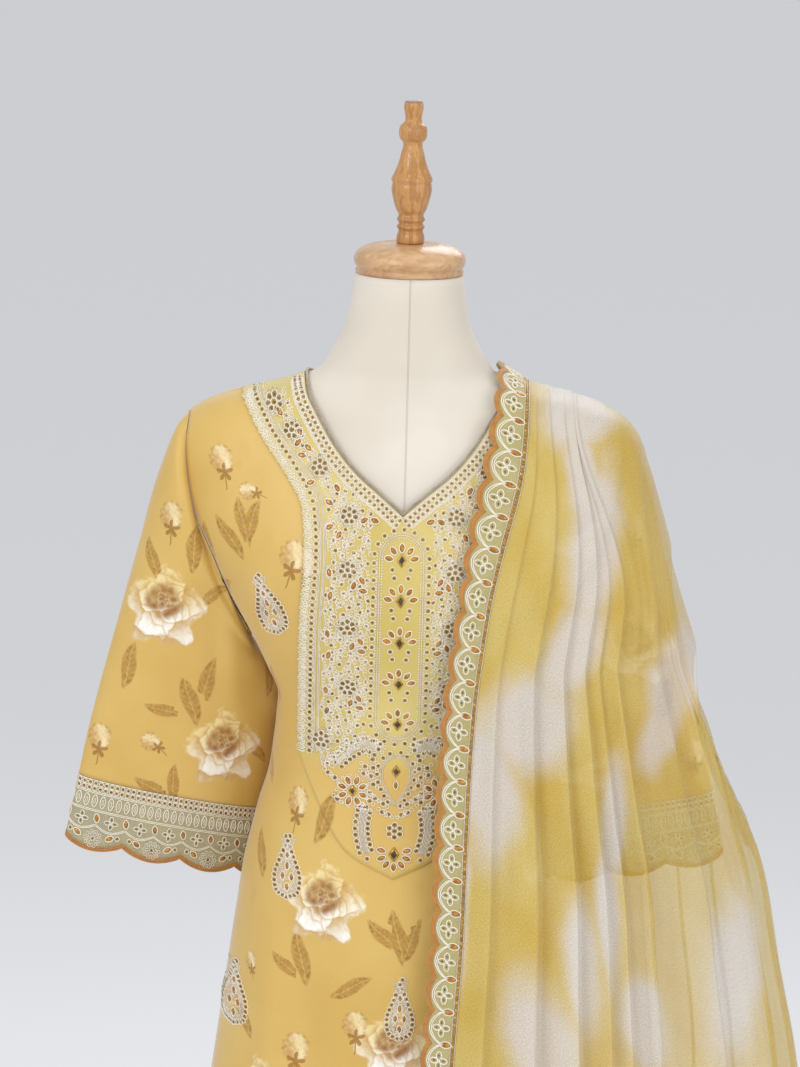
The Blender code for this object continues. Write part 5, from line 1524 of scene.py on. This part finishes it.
wild = np.stack([np.sin(i * 12.9 + j * 78.2), np.sin(i * 39.3 + j * 11.1)], axis=2)
spots = np.stack([0.03 + 0.0082 * i, 1.062 + 0.0086 * j + 0.0043 * (i % 2)], axis=2)
spots = (spots + wild * 0.0016).reshape(-1, 2)
sides_work.rings(spots[between(spots, 0.0015)], 0.002)
# Rosettes, zigzag threads and petals in the side columns and up the V
ROSETTE, ROSETTE_RINGS, RAISED = 0.0058, 7, 0.0005
for middle in ((0.05, 1.2522), (0.0487, 1.1992), (0.047, 1.14), (0.07, 1.085), (0.0499, 1.301),
               (0.0788, 1.3432), (0.106, 1.375), (0.1235, 1.3975)):
    spots, _ = fan(middle, ROSETTE, np.arange(ROSETTE_RINGS) * 360 / ROSETTE_RINGS + 90)
    sides_work.rings(np.concatenate([[middle], spots]), 0.0024, 0.0006)
    spots, turns = fan(middle, ROSETTE + 0.0036, np.arange(ROSETTE_RINGS * 2) * 180 / ROSETTE_RINGS)
    sides_work.loops("silver", spots, (0.0014, 0.0018), turns, 8, 0.0004, 0.0003)
for z in (1.238, 1.181, 1.124):
    zigzag = spaced_line(np.array([(0.064, z + 0.027), (0.064, z), (0.0385, z - 0.0265),
                                   (0.0385, z - 0.03)]), np.linspace(0, 1, 30))
    sides_work.line("silver", [zigzag], 0.0003)
    spots = np.array([(0.0365, 0.0052), (0.044, 0.0003), (0.0353, -0.0042), (0.067, 0.011),
                      (0.0655, -0.01)]) + (0, z)
    sides_work.petals(spots, PETAL, np.array([1.0, 1.9, 0.2, 1.4, 1.8]), RAISED)
SIDE_PETALS = columns("x z angle", [
    (0.069, 1.312, 30), (0.062, 1.325, 60), (0.09, 1.36, 40), (0.096, 1.353, 10),
    (0.068, 1.29, -30), (0.0985, 1.374, 70), (0.036, 1.297, 150), (0.059, 1.283, -60),
    (0.118, 1.39, 50), (0.026, 1.297, 20), (0.087, 1.329, -20), (0.1, 1.364, -50),
])
sides_work.petals(across_and_up(SIDE_PETALS["x"], SIDE_PETALS["z"]), PETAL,
                  np.radians(SIDE_PETALS["angle"]), RAISED)


def beaded_leaf(route, step, radius, away, ring):
    """Five threads side by side along a route, a step apart, with rings along both sides."""
    leaf_line = spaced(route, np.linspace(0, 1, 40))
    for i in (-2, -1, 0, 1, 2):
        sides_work.line("silver", [leaf_line + i * np.array(step)], radius)
    for offset in (-away, away):
        sides_work.rings(beads_along(leaf_line, 0.0056, offset)[0], ring)


# Below the capsule: arcs, beaded leaves, and flowers round a stone
beaded_leaf([(0.018, 1.08), (0.028, 1.084), (0.042, 1.077), (0.056, 1.064)],
            (0, 0.0012), 0.0005, 0.006, 0.0021)
beaded_leaf([(0.029, 1.02), (0.031, 1.006), (0.029, 0.99), (0.026, 0.98)],
            (0.0013, 0), 0.0006, 0.0058, 0.0022)
flower = (0.04, 1.0387)
spots, turns = fan(flower, 0.0105, np.arange(8) * 45 + 20)
sides_work.petals(spots, PETAL, turns)
spots, _ = fan(flower, 0.0068, np.arange(8) * 45 + 42)
sides_work.loops("cream", spots, (0.002, 0.0011), radius=0.0004)
foot_rings = np.array([
    (0.015, 1.085), (0.0225, 1.088), (0.063, 1.054), (0.057, 1.05), (0.017, 1.08),
    (0.022, 1.07), (0.0215, 1.062), (0.0235, 1.054), (0.021, 1.046), (0.024, 1.038),
    (0.019, 1.033), (0.011, 1.028), (0.024, 1.03), (0.027, 1.024), (0.012, 1.02),
    (0.006, 1.018), (0.03, 1.056), (0.029, 1.063), (0.054, 1.03), (0.033, 1.024),
])
sides_work.rings(foot_rings, 0.0022)
for spots, size in ((np.array([flower]) + 0.015 * circle(14), 0.0014),
                    (foot_rings + (0.0035, 0.003), 0.0018),
                    (foot_rings - (0.0036, 0.0028), 0.0016)):
    sides_work.loops("cream", spots, size, radius=0.00045)
sides_work.rings([(0.025, 0.9745), (0.0295, 1.0235)])
sides_work.make("yoke_{}_sides", "yoke_embroidery", mirrored_too)

# The yoke's middle: a capsule of beaded thread round five stones, each with a fan of petals, then
# a drop, a rosette and a last stone.
HALF, TOP, FOOT = 0.0205, 1.2847, 1.0903
middle_work = Embroidery(on_front, YOKE_TOP + THREAD_LIFT)
turn = np.linspace(0, math.pi, 40)
capsule = np.concatenate([
    np.stack([HALF * np.cos(turn), TOP - HALF + HALF * np.sin(turn)], axis=1),
    np.stack([-HALF * np.cos(turn), FOOT + HALF - HALF * np.sin(turn)], axis=1)])
capsule = spaced_line(np.concatenate([capsule, capsule[:1]]), np.linspace(0, 1, 260, False))
middle_work.line("silver", [capsule], 0.0006, True)
for offset in (0.0022, -0.0022):
    middle_work.domes("silver", circle(6), beads_along(capsule, 0.0026, offset)[0], 0.001)
middle_work.rings(beads_along(capsule, 0.0079, -0.0052)[0])
for z in (1.2623, 1.2254, 1.1859, 1.1452, 1.1048):
    middle_work.stone(0.0, z)
    spots, turns = fan((0.0, z - 0.001), 0.0122, (90, 50, 130, 12, 168))
    middle_work.petals(spots, PETAL, turns)
    below = ((0.0085, 0.0085), (0.0065, 0.016)) if z > 1.11 else ((0.0085, 0.005),)
    middle_work.rings([(side_x * x, z - down) for x, down in below for side_x in (-1, 1)])
drop = spaced([(0.0, 1.0269), (0.0078, 1.04), (0.0128, 1.053), (0.011, 1.066),
               (0.0, 1.0749)], np.linspace(0, 1, 50))
drop = np.concatenate([drop, (drop * (-1, 1))[-2::-1]])
for offset in (0.0, -0.0014):
    middle_work.line("silver", [beads_along(drop, 0.0018, offset)[0]], 0.00055)
middle_work.rings(beads_along(drop, 0.0066, -0.0046, 0.002)[0], 0.002)
for x, z, size in ((0.0, 1.059, 0.9), (0.0, 0.9794, 1.1), (-0.04, 1.0387, 0.8),
                   (0.04, 1.0387, 0.8)):
    middle_work.stone(x, z, size)
middle_work.petals([(0.0, 1.046)], (0.0034, 0.0016), math.pi / 2)
spots, turns = fan((0.0, 0.98), 0.0125, (15, 165, -20, 200, -55, 235, 270))
middle_work.petals(spots, PETAL, turns)
spots, _ = fan((0.0, 1.002), ROSETTE, np.arange(6) * 60 + 30)
middle_work.rings(np.concatenate([[(0.0, 1.002)], spots]), 0.0024)
middle_work.make("yoke_{}_middle", "yoke_embroidery")

# Drops: embroidered teardrops scattered over the front below the yoke and beside it. Each has
# three threads round it, then a row of sequins, five petals and a filling of small loops.
DROPS = columns("x z lean", [
    (-0.1242, 1.2126, 0.38), (-0.1004, 0.9578, 0.0), (0.0096, 0.8283, 0.0), (-0.1493, 0.825, 0.0),
    (0.1242, 1.2126, -0.38), (0.1004, 0.9578, 0.0), (-0.07, 0.7, 0.0), (0.08, 0.7, 0.0),
    (0.0096, 0.57, 0.0), (-0.1493, 0.59, 0.0), (0.156, 0.59, 0.0), (-0.07, 0.47, 0.0),
    (0.085, 0.47, 0.0),
])
drop_work = Embroidery(on_front, CLOTH / 2 + 0.0003)
outline = spaced([(0.0, 0.031), (-0.0075, 0.012), (-0.0142, -0.01), (-0.011, -0.0245),
                  (0.0, -0.03)], np.linspace(0, 1, 60))
outline = np.concatenate([outline, (outline * (-1, 1))[-2::-1]])
petal_spots = np.array([(0, 0.012), (0, 0.002), (-0.0042, -0.008), (0.0042, -0.008),
                        (0, -0.018)])
row = np.arange(26)
filling = np.stack([0.0058 * np.sin(row * GOLDEN_ANGLE), 0.014 - row * 0.0014], axis=1)
for x, z, lean in zip(*DROPS.values()):
    c, s = math.cos(lean), math.sin(lean)
    placed, at, fill = (spots @ np.array([(c, s), (-s, c)]) + (x, z)
                        for spots in (outline, petal_spots, filling))
    for offset in (0.0052, 0.0064, 0.0076):
        drop_work.line("silver", [beads_along(placed, 0.0017, offset)[0]], 0.0005)
    drop_work.rings(beads_along(placed, 0.0053, 0.002)[0])
    drop_work.petals(at, (0.0034, 0.0016), math.pi / 2 + lean)
    drop_work.loops("cream", fill, (0.0015, 0.0011), row * 1.3, radius=0.0004)
drop_work.make("drops_{}", "yoke_embroidery")

# Cuff lace: rings and tall loops below the seam, flowers between sequins, a rosette in each
# scallop and a triple brown cord along the edge.
LOBE = around[-1] / CUFF_SCALLOPS


def on_cuff(u, v, lift):
    """A point of the wearer's left cuff. u is metres round it, rising towards the outer edge in
    front, and v is metres up from its seam, so all of the lace has a v below 0."""
    u, v, lift = np.broadcast_arrays(np.asarray(u, float), np.asarray(v, float), lift)
    share = np.interp((-u) % around[-1], around, np.arange(FINE + 1)) % FINE

    def spot(where):
        first = np.floor(where).astype(int) % FINE
        part = (where - np.floor(where))[..., None]
        after = (first + 1) % FINE
        top, end = (line[first] * (1 - part) + line[after] * part for line in (fine_top, fine_end))
        down = unit(end - top)
        return top + down * (SEAM - v)[..., None], down

    point, down = spot(share)
    ahead, _ = spot((share + 0.5) % FINE)
    return point + unit(np.cross(ahead - point, down)) * lift[..., None]


def cuff_edge(u):
    """How far the net comes down: a round lobe for each seventh of the way round."""
    depth = np.linalg.norm(fine_end - fine_top, axis=1)
    depth = np.interp((-u) % around[-1], around, np.append(depth, depth[0]))
    lobe = np.abs(np.sin(u / LOBE * math.pi))
    return -(depth - SEAM) + CUFF_SCALLOP_DEPTH * (1 - lobe**0.8)


cuff_work = Embroidery(on_cuff, TRIM / 2 + THREAD_LIFT)


def all_round(pitch, v):
    count = int(around[-1] / pitch)
    return across_and_up(np.arange(count) / count * around[-1], v)


for v in (-0.0032, -0.0084):
    cuff_work.rings(all_round(0.0055, v), 0.0018)
spots = all_round(0.008, -0.0205)
cuff_work.loops("cream", spots, (0.0062, 0.0027), math.pi / 2, 14, 0.0006, 0.0, 0.25)
cuff_work.loops("cream", spots, (0.003, 0.0009), math.pi / 2, 8, 0.0004)
fine = np.linspace(0, around[-1], 300, endpoint=False)
for v, radius in ((-0.0004, 0.0005), (-0.0058, 0.0004), (-0.0114, 0.0005), (-0.0128, 0.0005),
                  (-0.029, 0.0005), (-0.0304, 0.0005)):
    cuff_work.line("cream", [across_and_up(fine, v)], radius, True)
half_lobes = np.arange(CUFF_SCALLOPS * 2)
cuff_work.flower(across_and_up((half_lobes + 0.5) * LOBE / 2, -0.0392), 0.0038, (0.0031, 0.0021),
                 (0.0013, 0.0008), 0.0005)
cuff_work.petals(across_and_up(half_lobes * LOBE / 2, -0.037), (0.0038, 0.002), math.radians(80))
steps = np.linspace(0, 1, 22)
arcs = across_and_up(steps * LOBE / 2 + half_lobes[:, None] * LOBE / 2,
                     -0.043 - 0.0055 * np.sin(steps * math.pi))
for drop_by in (0.0, 0.0014):
    cuff_work.line("cream", arcs - (0, drop_by), 0.0005)
middles = across_and_up((np.arange(CUFF_SCALLOPS) + 0.5) * LOBE, -0.0575)
for angle in np.radians(np.arange(10) * 36):
    for reach, size in ((0.0042, (0.0023, 0.0012)), (0.0075, (0.0014, 0.0018))):
        cuff_work.loops("silver", middles + reach * np.array([math.cos(angle), math.sin(angle)]),
                        size, angle)
cuff_work.rings(middles, 0.0017)
for sign, angle in ((-1, -35), (1, 215)):
    cuff_work.petals(middles + (sign * 0.016, 0.003), (0.0036, 0.0021), math.radians(angle))
    cuff_work.rings(middles + (sign * 0.0235, 0.0046), 0.0019)
fine = np.linspace(0, around[-1], 420, endpoint=False)
for inside, radius in ((0.0009, 0.001), (0.0026, 0.0008), (0.0044, 0.0008)):
    cuff_work.line("brown", [across_and_up(fine, cuff_edge(fine) + inside)], radius, True, -0.0003)
cuff_work.make("cuff_left_{}", "cuff_lace")
cuff_work.make("cuff_right_{}", "cuff_lace", mirrored)

# Border lace: a thick brown scalloped edge, double cream arcs, a flower in each arc, a sequin
# between two arcs and a line of dark gold sequins where the strip joins the dupatta.
strip_out = unit(grid_normals(np.stack([full, outer], axis=1))[:, 0])


def on_border(a, metres, lift):
    """A point of the lace: a is how far it is from the straight inner line towards the dupatta,
    in metres of the strip's usual width, and metres run along it from the shoulder, below 0 in
    front."""
    a, s, lift = np.broadcast_arrays(np.asarray(a, float), np.asarray(metres) / SCALLOP, lift)
    inside, outside, out = (np.stack([np.interp(s, place_in, c) for c in line.T], axis=-1)
                            for line in (full, outer, strip_out))
    return inside + (outside - inside) * (a / BORDER)[..., None] + unit(out) * lift[..., None]


border_work = Embroidery(on_border, TRIM / 2 + THREAD_LIFT)
scallops = np.arange(math.ceil(place_in[0]), math.floor(place_in[-1]) + 1).astype(float)
fine = np.arange(place_in[0], place_in[-1], 1 / 14)
edge = (1 - np.abs(np.cos(fine * math.pi)) ** 0.8) * SCALLOP_DEPTH
for inside, radius, flat in ((0.0026, 0.0026, 0.3), (0.001, 0.0009, 1.0), (0.0042, 0.0009, 1.0)):
    border_work.line("brown", [across_and_up(edge + inside, fine * SCALLOP)], radius, False,
                     -0.0002, flat)
steps = np.linspace(-0.5, 0.5, 19)
for inside in (0.007, 0.0088):
    arcs = across_and_up(inside + 0.012 * (1 - np.cos(steps * math.pi) ** 0.7),
                         scallops[:, None] + steps)
    arcs = arcs[(np.abs(arcs[..., 1]) <= min(-place_in[0], place_in[-1])).all(axis=1)]
    border_work.line("cream", arcs * (1, SCALLOP), 0.0007)
border_work.flower(across_and_up(0.0185, scallops * SCALLOP), 0.0046, (0.0039, 0.0027),
                   (0.0014, 0.0009), 0.0007)
border_work.petals(across_and_up(0.024, (scallops[:-1] + 0.5) * SCALLOP), (0.005, 0.0024))
spots = across_and_up(0.0312, np.arange(place_in[0], place_in[-1], 0.0034 / SCALLOP) * SCALLOP)
for kind, taken in (("gilt", spots[::2]), ("amber", spots[1::2])):
    border_work.domes(kind, circle(6), taken, (0.0018, 0.0016), 0.0, 0.0009, -0.0002)
for a in (0.029, 0.0332):
    border_work.line("silver", [across_and_up(a, fine * SCALLOP)], 0.0004)
border_work.make("border_{}", "dupatta_lace")

# Stage: a pale floor that runs out to the horizon, a pale sky, four soft lamps, and the camera
# at the photograph's angle.
ELEVATION, ROLL, DISTANCE = math.radians(10.0), math.radians(1.54), 5.0
METRES_PER_PIXEL, AXIS_PX, ROW_PX, ROW_Z = 0.00095, 406.7, 376.0, 1.42
FRAME_WIDTH, FRAME_HEIGHT = 800, 1067

SKY, SKY_STRENGTH, FLOOR_RADIUS = np.array([0.94, 0.96, 1.0]), 0.64, 60.0
paper = bpy.data.materials.new("floor")
paper.use_nodes = True
inputs = paper.node_tree.nodes["Principled BSDF"].inputs
inputs["Base Color"].default_value = (0.8, 0.8, 0.8, 1)
inputs["Roughness"].default_value, inputs["Specular IOR Level"].default_value = 1.0, 0.0
# As bright far off as the sky, so that no line shows where the two meet
inputs["Emission Color"].default_value = (*SKY, 1)
inputs["Emission Strength"].default_value = SKY_STRENGTH * 0.2
disc = circle(64) * FLOOR_RADIUS
mesh = bpy.data.meshes.new("floor")
mesh.from_pydata([(x, y, -0.0005) for x, y in disc], [], [list(range(64))])
mesh.materials.append(paper)


def set_up(name, data):
    holder = bpy.data.objects.new(name, data)
    bpy.context.scene.collection.objects.link(holder)
    return holder


set_up("floor", mesh)

for label, spot, aim, watts, size in (
        ("key", (-1.9, -3.0, 2.9), (0, 0, 1.1), 46, 1.9),
        ("fill", (2.4, -2.8, 1.9), (0, 0, 1.0), 31, 2.2),
        ("rim", (0.8, 2.3, 3.0), (0, 0, 1.2), 24, 1.6),
        ("top", (0.0, -0.6, 3.9), (0, 0, 1.0), 15, 2.2)):
    lamp = bpy.data.lights.new(label, "AREA")
    lamp.energy, lamp.size = watts, size
    holder = set_up(label, lamp)
    holder.location = spot
    holder.rotation_euler = (Vector(aim) - Vector(spot)).to_track_quat("-Z", "Y").to_euler()
world = bpy.data.worlds.new("studio")
world.use_nodes = True
inputs = world.node_tree.nodes["Background"].inputs
inputs["Color"].default_value, inputs["Strength"].default_value = (*SKY, 1), SKY_STRENGTH
bpy.context.scene.world = world

lens = bpy.data.cameras.new("camera")
lens.sensor_fit, lens.sensor_height = "VERTICAL", 36.0
lens.lens = 36.0 * DISTANCE / (FRAME_HEIGHT * METRES_PER_PIXEL)
camera = set_up("camera", lens)
back = Vector((0, -math.cos(ELEVATION), math.sin(ELEVATION)))
right, above = Vector((1, 0, 0)), Vector((0, math.sin(ELEVATION), math.cos(ELEVATION)))
turn = Matrix.Rotation(ROLL, 3, back)
right, above = turn @ right, turn @ above
seen = Vector((0, 0, ROW_Z))
centre = (seen + right * ((FRAME_WIDTH / 2 - AXIS_PX) * METRES_PER_PIXEL)
          - above * ((FRAME_HEIGHT / 2 - ROW_PX) * METRES_PER_PIXEL))
camera.matrix_world = Matrix.Translation(centre + back * DISTANCE) @ Matrix(
    (right, above, back)).transposed().to_4x4()
bpy.context.scene.camera = camera
bpy.context.scene.view_settings.view_transform = "Standard"
